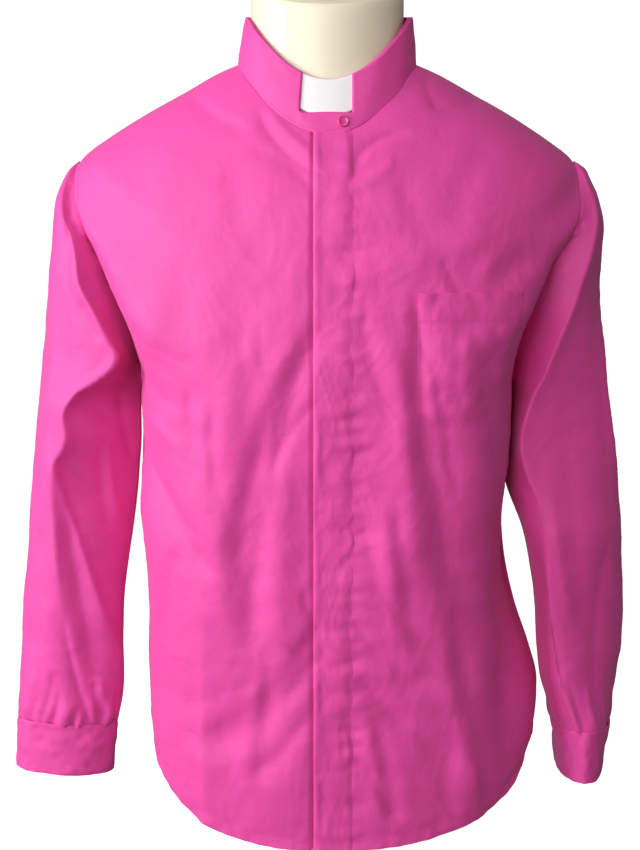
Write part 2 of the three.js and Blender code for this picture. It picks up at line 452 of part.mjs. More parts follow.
// The breast pocket, with its lower corners cut off. Its width is measured along the cloth, and it is
// lifted until all of it clears the front that it is sewn to.
function pocket() {
  const { columns, rows, along, rounds } = POCKET_GRID;
  const front = group.getObjectByName("front_left");
  const caster = new THREE.Raycaster();
  const faceAt = (x, z) => {
    caster.set(V(x, -300, z), V(0, 1, 0));
    return caster.intersectObject(front)[0].point;
  };
  const grid = Array.from({ length: rows + 1 }, (_, i) => {
    const z = lerp(POCKET.top, POCKET.bottom, i / rows);
    const cut = POCKET.corner * Math.max(0, 1 - (z - POCKET.bottom) / POCKET.corner);
    const line = [faceAt(POCKET.left, z)];
    let run = 0;
    for (let x = POCKET.left + 1; run < POCKET.width; x++) {
      line.push(faceAt(x, z));
      run += line[line.length - 1].distanceTo(line[line.length - 2]);
    }
    const points = spread(line, along);
    const inset = cut / POCKET.width;
    const pick = (t) => points[Math.round(along * lerp(inset, 1 - inset, t))];
    return Array.from({ length: columns + 1 }, (_, j) => pick(j / columns).clone());
  });
  const lifts = grid.map((row) => row.map(() => POCKET.gap));
  for (let round = 0; round < rounds; round++)
    for (let i = 0; i < rows; i++)
      for (let j = 0; j < columns; j++)
        for (const [u, v] of CELL_SAMPLES) {
          const third = v > u ? [i + 1, j, v - u] : [i, j + 1, u - v];
          const corners = [[i, j, 1 - Math.max(u, v)], third, [i + 1, j + 1, Math.min(u, v)]];
          const at = V(0, 0, 0);
          for (const [a, b, w] of corners) {
            at.addScaledVector(grid[a][b], w);
            at.y -= lifts[a][b] * w;
          }
          const short = at.y + POCKET.gap * 0.7 - faceAt(at.x, at.z).y;
          if (short > 0) corners.forEach(([a, b]) => (lifts[a][b] += short));
        }
  const lifted = grid.map((row, i) => row.map((p, j) => p.clone().setY(p.y - lifts[i][j])));
  patch("pocket", lifted, -1, 0, CLOTH);
}

// The back and its yoke, each from side to side over the centre line.
function backPieces() {
  const build = (places) => {
    const base = places.map((place) => {
      const right = ring(-1, place, true).reverse();
      const left = ring(1, place, true).slice(1);
      return spread([...right, ...left], GRID.backColumns);
    });
    return moved(base, normals(base, 1), (p) => foldHeight(BACK_FOLDS, p));
  };
  const trim = (grid) => trimmed(grid, SEAM * 2, SEAM * 2);
  const yoke = trim(build([0, 0.8, 1.6, 2.4, YOKE_RING - 0.02]));
  const back = trim(build([YOKE_RING + 0.02, 4, ...rowPlaces(TIP, HEM)]));
  panel("yoke", yoke, 1);
  panel("back", back, 1);
}

// A point of the armhole at a height, on the front or the back.
function armhole(side, height, back) {
  let [low, high] = [TIP, UNDERARM];
  for (let i = 0; i < 40; i++) {
    const mid = (low + high) / 2;
    if (ringEnd(side, mid, back).z > height) low = mid;
    else high = mid;
  }
  return ringEnd(side, low, back);
}

// One sleeve: each row runs from the armhole's front, or the inner edge, over the outer edge and round
// to the back. The two edges of the cloth meet along the underarm seam.
function sleeve(name, rows, side, flat, cuffTop) {
  const grid = rows.map((r, place) => {
    const outer = V(r.ox, SLEEVE_OUTLINE.y - place * SLEEVE_OUTLINE.back, r.oz);
    const open = r.sz !== undefined;
    const front = open ? armhole(side, r.sz, false) : V(r.ix, r.iy - SEAM, r.oz);
    const back = open ? armhole(side, r.sz, true) : V(r.ix, r.iy + SEAM, r.oz);
    if (open) [front, back].forEach((p) => (p.x += side * ARMHOLE_GAP));
    if (place === rows.length - 1) [outer, front, back].forEach((p) => (p.z = cuffTop(p.x)));
    const share = (x, edge) => clamp01((x - outer.x) / (edge.x - outer.x || 1));
    const level = (x, edge) => lerp(outer.z, edge.z, share(x, edge));
    const ridge = V(r.fx, r.fy, level(r.fx, front));
    const crown = V(r.bx, r.by, level(r.bx, back));
    return [
      ...arc(front, ridge, open ? Math.max(ARMHOLE_CREASE, r.crease) : r.crease, true),
      ...arc(ridge, outer, r.crease * flat, false).slice(1),
      ...arc(outer, crown, 0, true).slice(1),
      ...arc(crown, back, open ? ARMHOLE_CREASE : 0, false).slice(1),
    ];
  });
  const out = moved(grid, normals(grid, -side), (p) => foldHeight(side > 0 ? [] : RIGHT_SLEEVE_FOLDS, p));
  const edged = trimmed(out, SEAM * 1.3, SEAM * 1.3);
  panel(name, edged, -side);
}

// A quarter turn between two points, or as straight as the crease says. edge is true where the first
// point is an edge of the tube, and false where the second one is.
function arc(from, to, crease, edge) {
  return Array.from({ length: GRID.sleeveSegment + 1 }, (_, i) => {
    const t = i / GRID.sleeveSegment;
    const q = (t * Math.PI) / 2;
    const x = lerp(edge ? 1 - Math.cos(q) : Math.sin(q), t, crease);
    const y = lerp(edge ? Math.sin(q) : 1 - Math.cos(q), t, crease);
    return V(lerp(from.x, to.x, x), lerp(from.y, to.y, y), lerp(from.z, to.z, x));
  });
}

// A cuff: a closed band round the wrist, a little wider than the sleeve that is gathered into it.
const cuffEdge = (cuff, z, x) => z + cuff.tilt * (x - cuff.x);
function cuffBand(name, cuff) {
  const levels = [0, 0.5, 1];
  const loop = (grow) =>
    levels.map((h) =>
      Array.from({ length: GRID.cuffColumns }, (_, j) => {
        const q = (2 * Math.PI * j) / GRID.cuffColumns;
        const a = lerp(cuff.a, cuff.aLow, h) + grow;
        const x = lerp(cuff.x, cuff.xLow, h) + a * Math.cos(q);
        const y = cuff.y + (cuff.b + grow) * Math.sin(q);
        return V(x, y, cuffEdge(cuff, CUFF_TOP - CUFF.height * h, x));
      }),
    );
  add(name, wall(loop(CUFF.lip), loop(CUFF.lip - CUFF.wall), true), poplin);
}

// The collar's band at an angle round the neck from the centre front, and at a share of its height.
// off moves it outwards.
function collarPoint(angle, h, off) {
  const c = COLLAR;
  const [s, k] = [Math.sin(angle), Math.cos(angle)];
  const half = lerp(c.halfLow, c.halfHigh, h) + off;
  const front = lerp(c.depthFrontLow, c.depthFrontHigh, h) + off;
  const back = lerp(c.depthBackLow, c.depthBackHigh, h) + off;
  const side = lerp(c.sideLow, c.sideHigh, h);
  const middle = k > 0 ? lerp(c.frontLow, c.frontHigh, h) : lerp(c.backLow, c.backHigh, h);
  return V(half * s + c.shift * h, k > 0 ? -front * k : -back * k, lerp(middle, side, s * s));
}
const collarAngle = (x) => Math.asin(x / COLLAR.halfLow);
function collarLoop(angles, levels, off) {
  return levels.map((h) => angles.map((angle) => collarPoint(angle, h, off)));
}

// The collar: an inner band all round, and an outer band whose front is cut down to show the tab.
async function collar() {
  const wasm = await Module();
  wasm.setup();
  const turns = (n) => Array.from({ length: n }, (_, j) => (2 * Math.PI * j) / n);
  const round = turns(COLLAR_GRID.columns);
  const band = (levels, off) =>
    wall(collarLoop(round, levels, off), collarLoop(round, levels, off - CLOTH), true);
  const toSolid = (geometry) => {
    const plain = geometry.clone();
    plain.deleteAttribute("normal");
    const merged = mergeVertices(plain, 1e-4);
    return new wasm.Manifold(
      new wasm.Mesh({
        numProp: 3,
        vertProperties: new Float32Array(merged.attributes.position.array),
        triVerts: new Uint32Array(merged.index.array),
      }),
    );
  };
  const notchSize = 60;
  const notch = new THREE.BoxGeometry(TAB.right - TAB.left, notchSize, notchSize);
  notch.deleteAttribute("uv");
  notch.translate((TAB.left + TAB.right) / 2, -COLLAR.depthFrontLow, TAB.low + notchSize / 2);
  const cut = toSolid(band(COLLAR_GRID.levels, OUTER)).subtract(toSolid(notch)).getMesh();
  const outer = new THREE.BufferGeometry();
  outer.setAttribute("position", new THREE.BufferAttribute(new Float32Array(cut.vertProperties), 3));
  outer.setIndex(new THREE.BufferAttribute(new Uint32Array(cut.triVerts), 1));
  add("collar_outer", outer, poplin);
  add("collar_inner", band([...COLLAR_GRID.levels.slice(0, -1), COLLAR_GRID.top], INNER), poplin);
}

// The white tab, held between the two bands, with its ends tucked in beside the notch.
function tab() {
  const steps = 12;
  const angles = Array.from({ length: steps + 1 }, (_, i) =>
    collarAngle(lerp(TAB.left - TAB.tuck, TAB.right + TAB.tuck, i / steps)),
  );
  const rise = COLLAR.frontHigh - COLLAR.frontLow;
  const low = (TAB.low - COLLAR.frontLow - 3) / rise; // 3 mm of the tab are tucked in below
  const levels = [low, lerp(low, 0.99, 0.5), 0.99];
  const face = OUTER - CLOTH - SEAM * 1.5;
  const strip = wall(collarLoop(angles, levels, face), collarLoop(angles, levels, face - TAB.wall));
  add("collar_tab", strip, whitePlastic);
}

// A four-hole button lying on a point, facing along a direction.
function button(name, at, facing) {
  const outline = new THREE.Shape().absarc(0, 0, BUTTON.radius, 0, 2 * Math.PI, false);
  for (const [x, y] of [[1, 1], [-1, 1], [-1, -1], [1, -1]]) {
    const hole = new THREE.Path();
    hole.absarc(x * BUTTON.spread, y * BUTTON.spread, BUTTON.hole, 0, 2 * Math.PI, true);
    outline.holes.push(hole);
  }
  const settings = { depth: BUTTON.height, bevelEnabled: false, curveSegments: 8 };
  const disc = new THREE.ExtrudeGeometry(outline, settings);
  const mesh = add(name, disc, dyedButton);
  mesh.quaternion.setFromUnitVectors(V(0, 0, 1), facing.clone().normalize());
  mesh.position.copy(at);
}

// The dress form: a smooth closed body with a flat foot.
function dressForm() {
  const columns = GRID.formColumns;
  const rows = FORM_RINGS.map((r, i) =>
    Array.from({ length: columns }, (_, j) => {
      const q = (2 * Math.PI * j) / columns;
      const [s, k] = [Math.sin(q), Math.cos(q)];
      const front = k > 0;
      const power = i < NECK_RINGS ? 1 : BODY_POWER;
      const away = 1 - Math.abs(k) ** power;
      const z = lerp(front ? r.fz : r.bz, r.sz, s * s);
      return V(r.sx * Math.sign(s) * Math.abs(s) ** power, lerp(front ? r.fy : r.by, r.sy, away), z);
    }),
  );
  const points = rows.flat();
  const faces = [];
  const at = (i, j) => i * columns + (j % columns);
  for (let i = 0; i < rows.length - 1; i++)
    for (let j = 0; j < columns; j++)
      faces.push([at(i, j), at(i + 1, j), at(i + 1, j + 1)], [at(i, j), at(i + 1, j + 1), at(i, j + 1)]);
  const cap = (i, flip) => {
    const middle = rows[i].reduce((sum, p) => sum.add(p), V(0, 0, 0)).divideScalar(columns);
    points.push(middle);
    for (let j = 0; j < columns; j++) {
      const face = [points.length - 1, at(i, j), at(i, j + 1)];
      faces.push(flip ? [face[0], face[2], face[1]] : face);
    }
  };
  cap(0, false);
  cap(rows.length - 1, true);
  add("dress_form", solid(points, faces), creamShell);
}

// The stand: a round plate with a socket, and a pole up to the form's foot.
function stand() {
  const socketTop = STAND.plate + STAND.socketHeight;
  const plate = [
    [0, 0], [STAND.base, 0], [STAND.base, 5], [STAND.base - 4, STAND.plate],
    [STAND.socket, STAND.plate], [STAND.socket - 4, socketTop], [0, socketTop],
  ];
  const top = FORM_RINGS[FORM_RINGS.length - 1].sz - STAND.gap;
  const low = socketTop + STAND.gap;
  const pole = [
    [0, low], [STAND.pole, low], [STAND.pole, top - 8],
    [STAND.flange, top - 5], [STAND.flange, top], [0, top],
  ];
  const turned = (profile) => {
    const lathe = new THREE.LatheGeometry(profile.map(([r, z]) => new THREE.Vector2(r, z)), 40);
    return lathe.rotateX(Math.PI / 2);
  };
  add("stand_base", turned(plate), steel);
  add("stand_pole", turned(pole), steel);
}

dressForm();
stand();
rightFront();
panel("front_left", leftGrid, -1);
placket();
pocket();
backPieces();
sleeve("sleeve_right", RIGHT_SLEEVE, -1, FLAT.right, (x) => cuffEdge(RIGHT_CUFF, CUFF_TOP + SEAM, x));
sleeve("sleeve_left", LEFT_SLEEVE, 1, FLAT.left, (x) => cuffEdge(LEFT_CUFF, CUFF_TOP + SEAM, x));
cuffBand("cuff_right", RIGHT_CUFF);
cuffBand("cuff_left", LEFT_CUFF);
await collar();
tab();
const stud = collarPoint(collarAngle(BUTTON.across), BUTTON.share, OUTER + SEAM);
button("collar_button", stud, V(0.16, -1, 0.22));

export default group;
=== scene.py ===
"""A clergy shirt of fuchsia poplin on a limbless dress form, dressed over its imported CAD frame.

Sizes are in millimetres, as in the CAD, and become metres where a mesh is made.
"""

import math

import bmesh
import bpy
import numpy as np
from mathutils import Matrix, Vector


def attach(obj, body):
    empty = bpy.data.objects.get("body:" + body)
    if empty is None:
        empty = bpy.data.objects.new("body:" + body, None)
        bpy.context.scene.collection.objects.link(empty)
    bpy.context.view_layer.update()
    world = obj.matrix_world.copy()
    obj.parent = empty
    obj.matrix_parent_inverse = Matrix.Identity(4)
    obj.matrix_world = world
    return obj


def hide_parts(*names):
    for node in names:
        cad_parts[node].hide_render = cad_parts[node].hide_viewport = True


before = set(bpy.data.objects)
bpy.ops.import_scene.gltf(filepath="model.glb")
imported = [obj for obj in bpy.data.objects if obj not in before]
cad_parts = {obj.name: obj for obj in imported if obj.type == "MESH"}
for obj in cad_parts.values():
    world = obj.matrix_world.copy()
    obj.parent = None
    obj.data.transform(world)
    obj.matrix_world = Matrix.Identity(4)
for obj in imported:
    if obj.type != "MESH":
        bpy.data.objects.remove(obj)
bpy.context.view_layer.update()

MM = 0.001

# Driving dimensions
CLOTH = 0.55  # thickness of the poplin
FLY = {"left": -13.2, "right": 28.4, "proud": 1.3, "stitch": 26.2}
UNDERLAP = {"past": 15, "set": 2.3, "start": -16.5, "full": -13.6}
POCKET = {"left": 85, "width": 104, "top": 668, "bottom": 541, "corner": 15}
POCKET |= {"proud": 0.7, "hem": 27, "slot": 12}
CUFF_TOP, CUFF_HEIGHT = 221.5, 53.5
TAB = {"left": -26.5, "right": 24, "low": 838.5, "thick": 0.8, "tuck": 15}
HEM_TURN = 7
NECK_TUCK = 1.4
STITCH = {"pitch": 2.7, "length": 1.9, "radius": 0.2, "sides": 5}
EDGE_STITCH, ARMHOLE_STITCH = 2.2, 7.5
WEAVE = {"X": 0.00048, "Y": 0.0007}  # metres from thread to thread, across and along the cloth
RING_SAMPLES = 200
RING_POWER = {"spacing": 1.3, "climb": 1.1}  # of the samples from the centre line, and of their rise
QUARTER = 40  # samples of a quarter of a sleeve's turn
SLEEVE_OUTLINE = {"y": 2, "back": 0.35}  # where a sleeve's outer line starts, and its drift a row
FLAT = {"right": 0.2, "left": 0.8}  # how flat each sleeve's front is towards its outer line

# Colours, linear
FUCHSIA = (0.79, 0.039, 0.355)
THREAD = (0.74, 0.055, 0.34)
CREAM = (0.86, 0.79, 0.62)
WHITE = (0.88, 0.87, 0.91)
DYE = (0.76, 0.05, 0.33)
STEEL = (0.58, 0.58, 0.6)

# Lights: place, height looked at, size, watts and colour
LIGHTS = (
    ("window", (-2.25, -0.95, 1.12), 0.5, (0.9, 1.2), 54, (1, 0.985, 0.97)),
    ("ceiling", (-0.3, -0.9, 2.6), 0.4, (1.6, 1.2), 6, (1, 1, 1)),
    ("front", (-1, -2.4, 1.3), 0.5, (1.6, 1.6), 37, (1, 0.985, 0.97)),
    ("room", (2.2, -2.2, 1.3), 0.5, (2, 2), 5, (1, 0.95, 0.9)),
)


class Table(dict):
    """Columns of numbers, given as rows."""

    def __init__(self, names, *rows):
        super().__init__(zip(names.split(), np.array(rows, float).T, strict=True))

    def rows(self):
        return zip(*self.values(), strict=True)

    def at(self, name, place):
        return between(self[name], place)


def between(values, place):
    """The value at a place between rows, on a Catmull-Rom curve."""
    place = np.asarray(place, float)
    last = len(values) - 1
    i = np.clip(np.floor(place).astype(int), 0, last - 1)
    t = place - i
    a, b, c, d = (values[np.clip(i + k, 0, last)] for k in (-1, 0, 1, 2))
    return b + 0.5 * t * (c - a + t * (2 * a - 5 * b + 4 * c - d + t * (3 * (b - c) + d - a)))


FRONT_RINGS = Table(
    "y z rx lx ey ez turn square rise",
    (-76, 816, 87, 87, 0, 883, 1, 2, 1), (-88, 791, 110, 110, 2, 873, 1, 2, 1),
    (-99, 761, 142, 143, 3, 855, 1, 2, 1), (-107, 731, 182, 182, 4, 833, 1, 2.05, 1),
    (-112, 704, 219, 218, 4, 810, 0.97, 2.1, 0.95), (-116, 683, 244, 243, 1, 789, 0.92, 2.1, 0.9),
    (-118, 661, 248, 248, -16, 762, 0.78, 2.1, 0.8), (-120, 639, 241, 246, -32, 735, 0.72, 2.2, 0.7),
    (-121, 618, 227, 230, -36, 706, 0.8, 2.5, 0.6), (-122, 598, 211, 211, -32, 678, 0.96, 2.7, 0.5),
    (-122, 578, 198, 196, -22, 650, 1, 2.8, 0.4), (-122, 558, 190, 188, -9, 622, 1, 2.9, 0.3),
    (-121, 538, 187, 184, 1, 596, 1, 3, 0.2), (-120, 520, 185, 184, 8, 573, 1, 3.1, 0.1),
    (-118, 474, 187, 183, 8, 518, 1, 3.1, 0), (-117, 424, 188, 178, 8, 460, 1, 3.1, 0),
    (-116, 368, 183, 181, 8, 402, 1, 2.9, 0), (-115, 310, 182, 192, 8, 348, 1, 2.6, 0),
    (-114, 248, 184, 208, 9, 300, 1, 2.4, 0), (-113, 183, 184, 218, 10, 264, 1, 2.4, 0),
    (-112, 119, 182, 214, 10, 236, 1, 2.3, 0),
)
TIP, UNDERARM, HEM = 5, 13, 20
BACK_RINGS = Table(
    "y z turn square rise",
    (61, 890, 1, 2, 1), (74, 873, 1, 2, 1), (88, 851, 1, 2, 1), (99, 825, 1, 2.05, 1),
    (106, 799, 1, 2.1, 1), (110, 776, 1, 2.1, 1), (113, 752, 0.8, 2.1, 1), (115, 728, 0.75, 2.1, 1),
    (117, 702, 0.8, 2.1, 1), (118, 676, 0.9, 2.2, 1), (118, 650, 0.96, 2.3, 1), (117, 622, 1, 2.3, 0.8),
    (116, 594, 1, 2.3, 0.5), (115, 566, 1, 2.3, 0.2), (113, 515, 1, 2.3, 0), (112, 458, 1, 2.3, 0),
    (112, 398, 1, 2.3, 0), (113, 335, 1, 2.3, 0), (114, 264, 1, 2.3, 0), (115, 186, 1, 2.3, 0),
    (115, 102, 1, 2.2, 0),
)
# The back's armhole edge, at the rings between the tip and the underarm
BACK_EDGE = Table("ex ey", (249, 30), (250, 46), (247, 54), (238, 54), (223, 47), (207, 36), (194, 22))
YOKE_RING = 3.3

# A sleeve's outer line, front bend, crease and back bend; "inner" is the height where a row meets the
# armhole, and from row FREE on the x of the underarm seam, with its y in "iy".
SLEEVE_COLUMNS = "ox oz inner iy fx fy crease bx by"
RIGHT_SLEEVE = Table(
    SLEEVE_COLUMNS,
    (-245.2, 789.8, 787.8, 0, -245, 2, 0, -245, 7), (-255, 782, 772, 0, -252.5, -7, 0, -249, 25),
    (-262, 769, 756, 0, -257, -16, 0, -252, 38), (-268, 752, 735, 0, -256, -32, 0, -254, 50),
    (-271, 732, 712, 0, -247, -50, 0.2, -255, 58), (-273.5, 708, 690, 0, -242, -62, 0.5, -254, 62),
    (-276.5, 680, 668, 0, -239, -66, 0.7, -252, 63), (-280, 652, 645, 0, -226, -69, 0.8, -250, 63),
    (-283, 628, 622, 0, -214, -71, 0.85, -248, 62), (-286, 603, 598, 0, -204, -72, 0.95, -246, 61),
    (-288, 581, 573, 0, -230, -67, 0.95, -245, 60), (-290, 560, -188.5, 4, -250, -62, 0.9, -244, 59),
    (-291.5, 543, -189, 2, -258, -58, 0.85, -244, 58), (-294, 518, -189, 0, -257, -57, 0.75, -245, 56),
    (-297, 491, -191, 0, -270, -53, 0.7, -246, 54), (-300, 460, -193.5, -2, -272, -50, 0.6, -248, 51),
    (-303, 428, -197, -4, -271, -48, 0.5, -251, 47), (-306.5, 388, -203, -6, -269, -47, 0.4, -254, 42),
    (-311, 345, -208, -8, -266, -46, 0.2, -258, 36), (-314, 305, -209, -10, -262, -44, 0.15, -261, 31),
    (-316, 270, -208.5, -11, -258, -42, 0.1, -263, 26), (-317.5, 245, -211, -12, -256, -40, 0.1, -264, 20),
    (-319, 223, -216, -12, -260, -36, 0, -266, 14),
)
LEFT_SLEEVE = Table(
    SLEEVE_COLUMNS,
    (244.4, 789.8, 787.8, 0, 244.2, 2, 0, 244.2, 7), (256, 781.5, 772, 0, 252.5, -8, 0.7, 249, 25),
    (263, 768, 756, 0, 257.5, -13, 0.8, 252, 38), (270, 752, 735, 0, 263, -19, 0.9, 254, 50),
    (274, 732, 712, 0, 263, -28, 0.95, 255, 58), (273, 706, 690, 0, 257, -37, 0.95, 254, 62),
    (272, 680, 668, 0, 249, -41, 0.95, 252, 64), (272.5, 653, 645, 0, 241, -42, 1, 250, 65),
    (275.5, 628, 622, 0, 231, -43, 1, 247, 65), (279, 603, 598, 0, 221, -42, 1, 244, 65),
    (282, 580, 573, 0, 211, -42, 1, 242, 65), (285, 560, 184.5, 20, 203, -42, 0.95, 241, 64),
    (288, 540, 183, 34, 196, -43, 0.85, 240, 63), (291, 515, 183, 38, 191, -45, 0.7, 240, 62),
    (294, 487, 180.5, 34, 196, -49, 0.5, 242, 61), (296, 460, 184.5, 14, 208, -53, 0.3, 244, 60),
    (299, 428, 196.5, -14, 218, -58, 0.1, 247, 59), (302, 388, 206.5, -12, 220, -57, 0.25, 251, 58),
    (305, 345, 213.5, -9, 221, -56, 0.4, 255, 57), (303, 304, 215.5, -6, 226, -57, 0.5, 257, 56),
    (298, 266, 220, -4, 234, -59, 0.4, 259, 54), (294.5, 243, 227, -4, 243, -60, 0.2, 260, 52),
    (292, 223, 232.5, -4, 256, -60, 0, 261, 51),
)
FREE = 11  # the first sleeve row below the armhole
CUFFS = {
    "right": {"x": -267.5, "x_low": -272, "y": -11, "a": 51, "a_low": 49.6, "b": 25, "tilt": -0.055},
    "left": {"x": 262.4, "x_low": 261.5, "y": -4.5, "a": 29.5, "a_low": 22.5, "b": 55.5, "tilt": 0},
}
COLLAR = {
    "front": (816, 867.5),
    "side": (883, 929),
    "back": (890, 938),
    "half": (87, 81),
    "front_depth": (76, 63),
    "back_depth": (61, 57),
    "shift": 1.8,
}
COLLAR_OUT, COLLAR_IN = 0.4, -2.6

# Folds as seen from the front: a line from x0,z0 to x1,z1, bowed sideways, with half widths at both
# ends, a height (a ridge is positive), a lean to one side, and a power: 2 is round and 1 a crease.
FOLD_COLUMNS = "x0 z0 x1 z1 bow w0 w1 h lean power"
FRONT_FOLDS = Table(
    FOLD_COLUMNS,
    (-14, 640, -68, 505, -6, 12, 16, -1.5, 0.3, 1.7), (-66, 520, -84, 330, -4, 15, 24, -2.8, 0.3, 1.8),
    (-96, 560, -116, 300, 8, 18, 30, 4, 0, 2), (-176, 520, -122, 410, 6, 14, 22, -4, 0.2, 1.7),
    (-18, 330, -112, 232, -8, 12, 26, -4.5, -0.3, 1.7), (-120, 340, -118, 140, 0, 14, 14, 2.5, 0, 1.5),
    (-50, 470, -30, 200, 6, 18, 30, 3.5, 0, 2), (84, 650, 80, 560, -6, 9, 15, -3, 0.3, 1.6),
    (80, 590, 128, 330, -8, 16, 26, -1.5, 0.3, 1.7), (62, 600, 74, 400, -6, 14, 22, 4, 0, 2),
    (130, 600, 152, 450, -4, 14, 22, 4, 0, 2), (158, 620, 172, 430, 6, 12, 18, -1.5, 0, 1.8),
    (40, 285, 132, 205, 4, 10, 16, -4, 0.2, 1.7), (150, 300, 140, 150, 0, 16, 16, 4, 0, 2),
    (176, 380, 186, 200, 0, 16, 18, -6, 0, 2), (-64, 800, -14, 765, -5, 9, 9, -2, 0.2, 1.6),
    (-61, 828, -14, 782, 5, 7, 5, -2.4, 0.2, 1.5), (-54, 840, -14, 796, 4, 5, 5, 1.3, 0, 2),
    (-130, 853, -83, 821, 4, 9, 7, -1.8, 0.2, 1.8), (-233, 782, -164, 720, 5, 12, 16, -1.8, 0.2, 1.8),
    (-236, 735, -161, 629, 5, 14, 18, 2.5, 0, 2), (-79, 632, -78, 592, 1, 5, 6, -0.9, 0, 1.6),
    (-63, 640, -60, 598, 1, 5, 6, -0.7, 0, 1.6), (-180, 505, -126, 435, 5, 8, 9, -2.2, 0.3, 1.5),
    (-132, 568, -114, 476, 3, 6, 8, -2, 0.2, 1.5), (-160, 470, -112, 402, 5, 6, 9, -1.4, 0.2, 1.6),
    (-122, 300, -123, 124, 0, 5, 6, 1.5, -0.4, 1.1), (-36, 328, -10, 310, 2, 5, 5, -1.5, 0, 1.5),
    (-22, 380, -8, 343, 2, 5, 5, -1.5, 0, 1.5), (-16, 560, -52, 500, 3, 6, 8, -1.6, 0.2, 1.6),
    (-60, 300, -140, 262, -4, 9, 12, -0.9, 0.2, 1.6), (-150, 400, -168, 250, 3, 9, 12, -2.6, 0, 1.8),
    (-24, 250, -70, 196, -3, 8, 10, -1.8, 0, 1.7), (-200, 610, -150, 560, 4, 9, 12, -2.2, 0.2, 1.7),
    (-184, 560, -140, 520, 4, 7, 9, 1.6, 0, 1.8), (26, 790, 67, 816, -5, 6, 5, -2.2, 0, 1.5),
    (95, 870, 104, 842, 2, 6, 6, -1.2, 0, 1.6), (104, 842, 146, 847, 3, 6, 7, -1, 0, 1.6),
    (34, 770, 60, 790, 3, 6, 6, 1.2, 0, 1.8), (110, 696, 123, 667, 1, 5, 5, -1.3, 0, 1.5),
    (34, 640, 60, 560, 4, 8, 10, -2, 0, 1.7), (92, 520, 118, 400, -4, 7, 9, -2, 0.3, 1.4),
    (36, 440, 72, 350, 5, 8, 10, -1.8, 0, 1.7), (42, 200, 66, 155, 1, 7, 7, -2.2, 0, 1.6),
    (144, 196, 149, 142, 0, 4, 4, 1.6, -0.3, 1.1), (34, 340, 92, 290, 4, 8, 10, -2, 0.2, 1.6),
    (90, 330, 180, 280, 4, 9, 12, -2.2, 0, 1.7), (168, 420, 196, 300, -3, 9, 12, -1.6, 0, 1.7),
    (72, 770, 110, 700, 4, 12, 14, -1.4, 0, 2), (150, 800, 120, 740, 4, 12, 14, -1.3, 0, 2),
    (-90, 780, -60, 700, 4, 12, 16, -1.3, 0, 2),
)
# Steps of the cloth, one side high and the other low: a line downwards is high on its smaller x.
STEP_COLUMNS = "x0 z0 x1 z1 bow w0 w1 h"
FRONT_STEPS = Table(
    STEP_COLUMNS,
    (-12, 640, -92, 430, 9, 13, 19, 2.3), (-40, 560, -74, 360, 6, 9, 14, 1.6),
    (-92, 440, -72, 320, 4, 18, 20, 2.4), (-12, 320, -119, 228, -8, 10, 20, 1.6),
    (-60, 300, -74, 190, 0, 9, 12, 1.5), (-112, 560, -108, 470, 3, 8, 10, 1.6),
    (80, 640, 132, 330, 14, 12, 22, 1.9), (96, 600, 118, 480, 0, 7, 10, 1.1),
    (60, 470, 78, 330, 3, 10, 13, 1.8), (120, 330, 150, 180, 0, 12, 16, 2.4),
    (44, 250, 60, 150, 0, 9, 12, 1.6), (152, 682, 230, 716, -7, 14, 24, -2.6),
)
BACK_FOLDS = Table(
    FOLD_COLUMNS,
    (-60, 700, -84, 200, 8, 18, 34, -8, 0, 2), (-110, 640, -128, 230, -8, 18, 30, 8, 0, 2),
    (48, 690, 60, 200, -10, 20, 34, -9, 0, 2), (104, 650, 132, 240, 8, 18, 32, 8, 0, 2),
    (-6, 600, -10, 180, 6, 20, 30, 6, 0, 2), (-170, 500, -110, 400, 6, 14, 24, -6, 0, 2),
    (166, 510, 116, 400, -6, 14, 24, -6, 0, 2), (-180, 690, -120, 560, 6, 14, 20, -6, 0, 2),
    (184, 690, 126, 560, -6, 14, 20, -6, 0, 2),
    (-30, 760, -44, 560, 4, 8, 12, -2.2, 0.2, 1.6), (22, 770, 30, 540, -4, 8, 12, -2, 0.2, 1.6),
    (-150, 600, -120, 460, 5, 8, 10, -2.4, 0.2, 1.5), (150, 590, 118, 440, -5, 8, 10, -2.4, 0.2, 1.5),
    (-40, 420, -96, 300, 5, 9, 12, -2, 0, 1.6), (20, 400, 84, 290, -5, 9, 12, -2.2, 0, 1.6),
    (-150, 380, -70, 330, 4, 8, 10, -1.6, 0, 1.6), (158, 370, 80, 320, -4, 8, 10, -1.7, 0, 1.6),
    (-110, 720, -70, 640, 4, 9, 12, -1.8, 0, 1.7), (112, 716, 74, 636, -4, 9, 12, -1.7, 0, 1.7),
    (0, 300, 12, 130, 4, 9, 12, -2, 0, 1.6), (-100, 240, -92, 130, 3, 9, 12, -1.8, 0, 1.6),
)
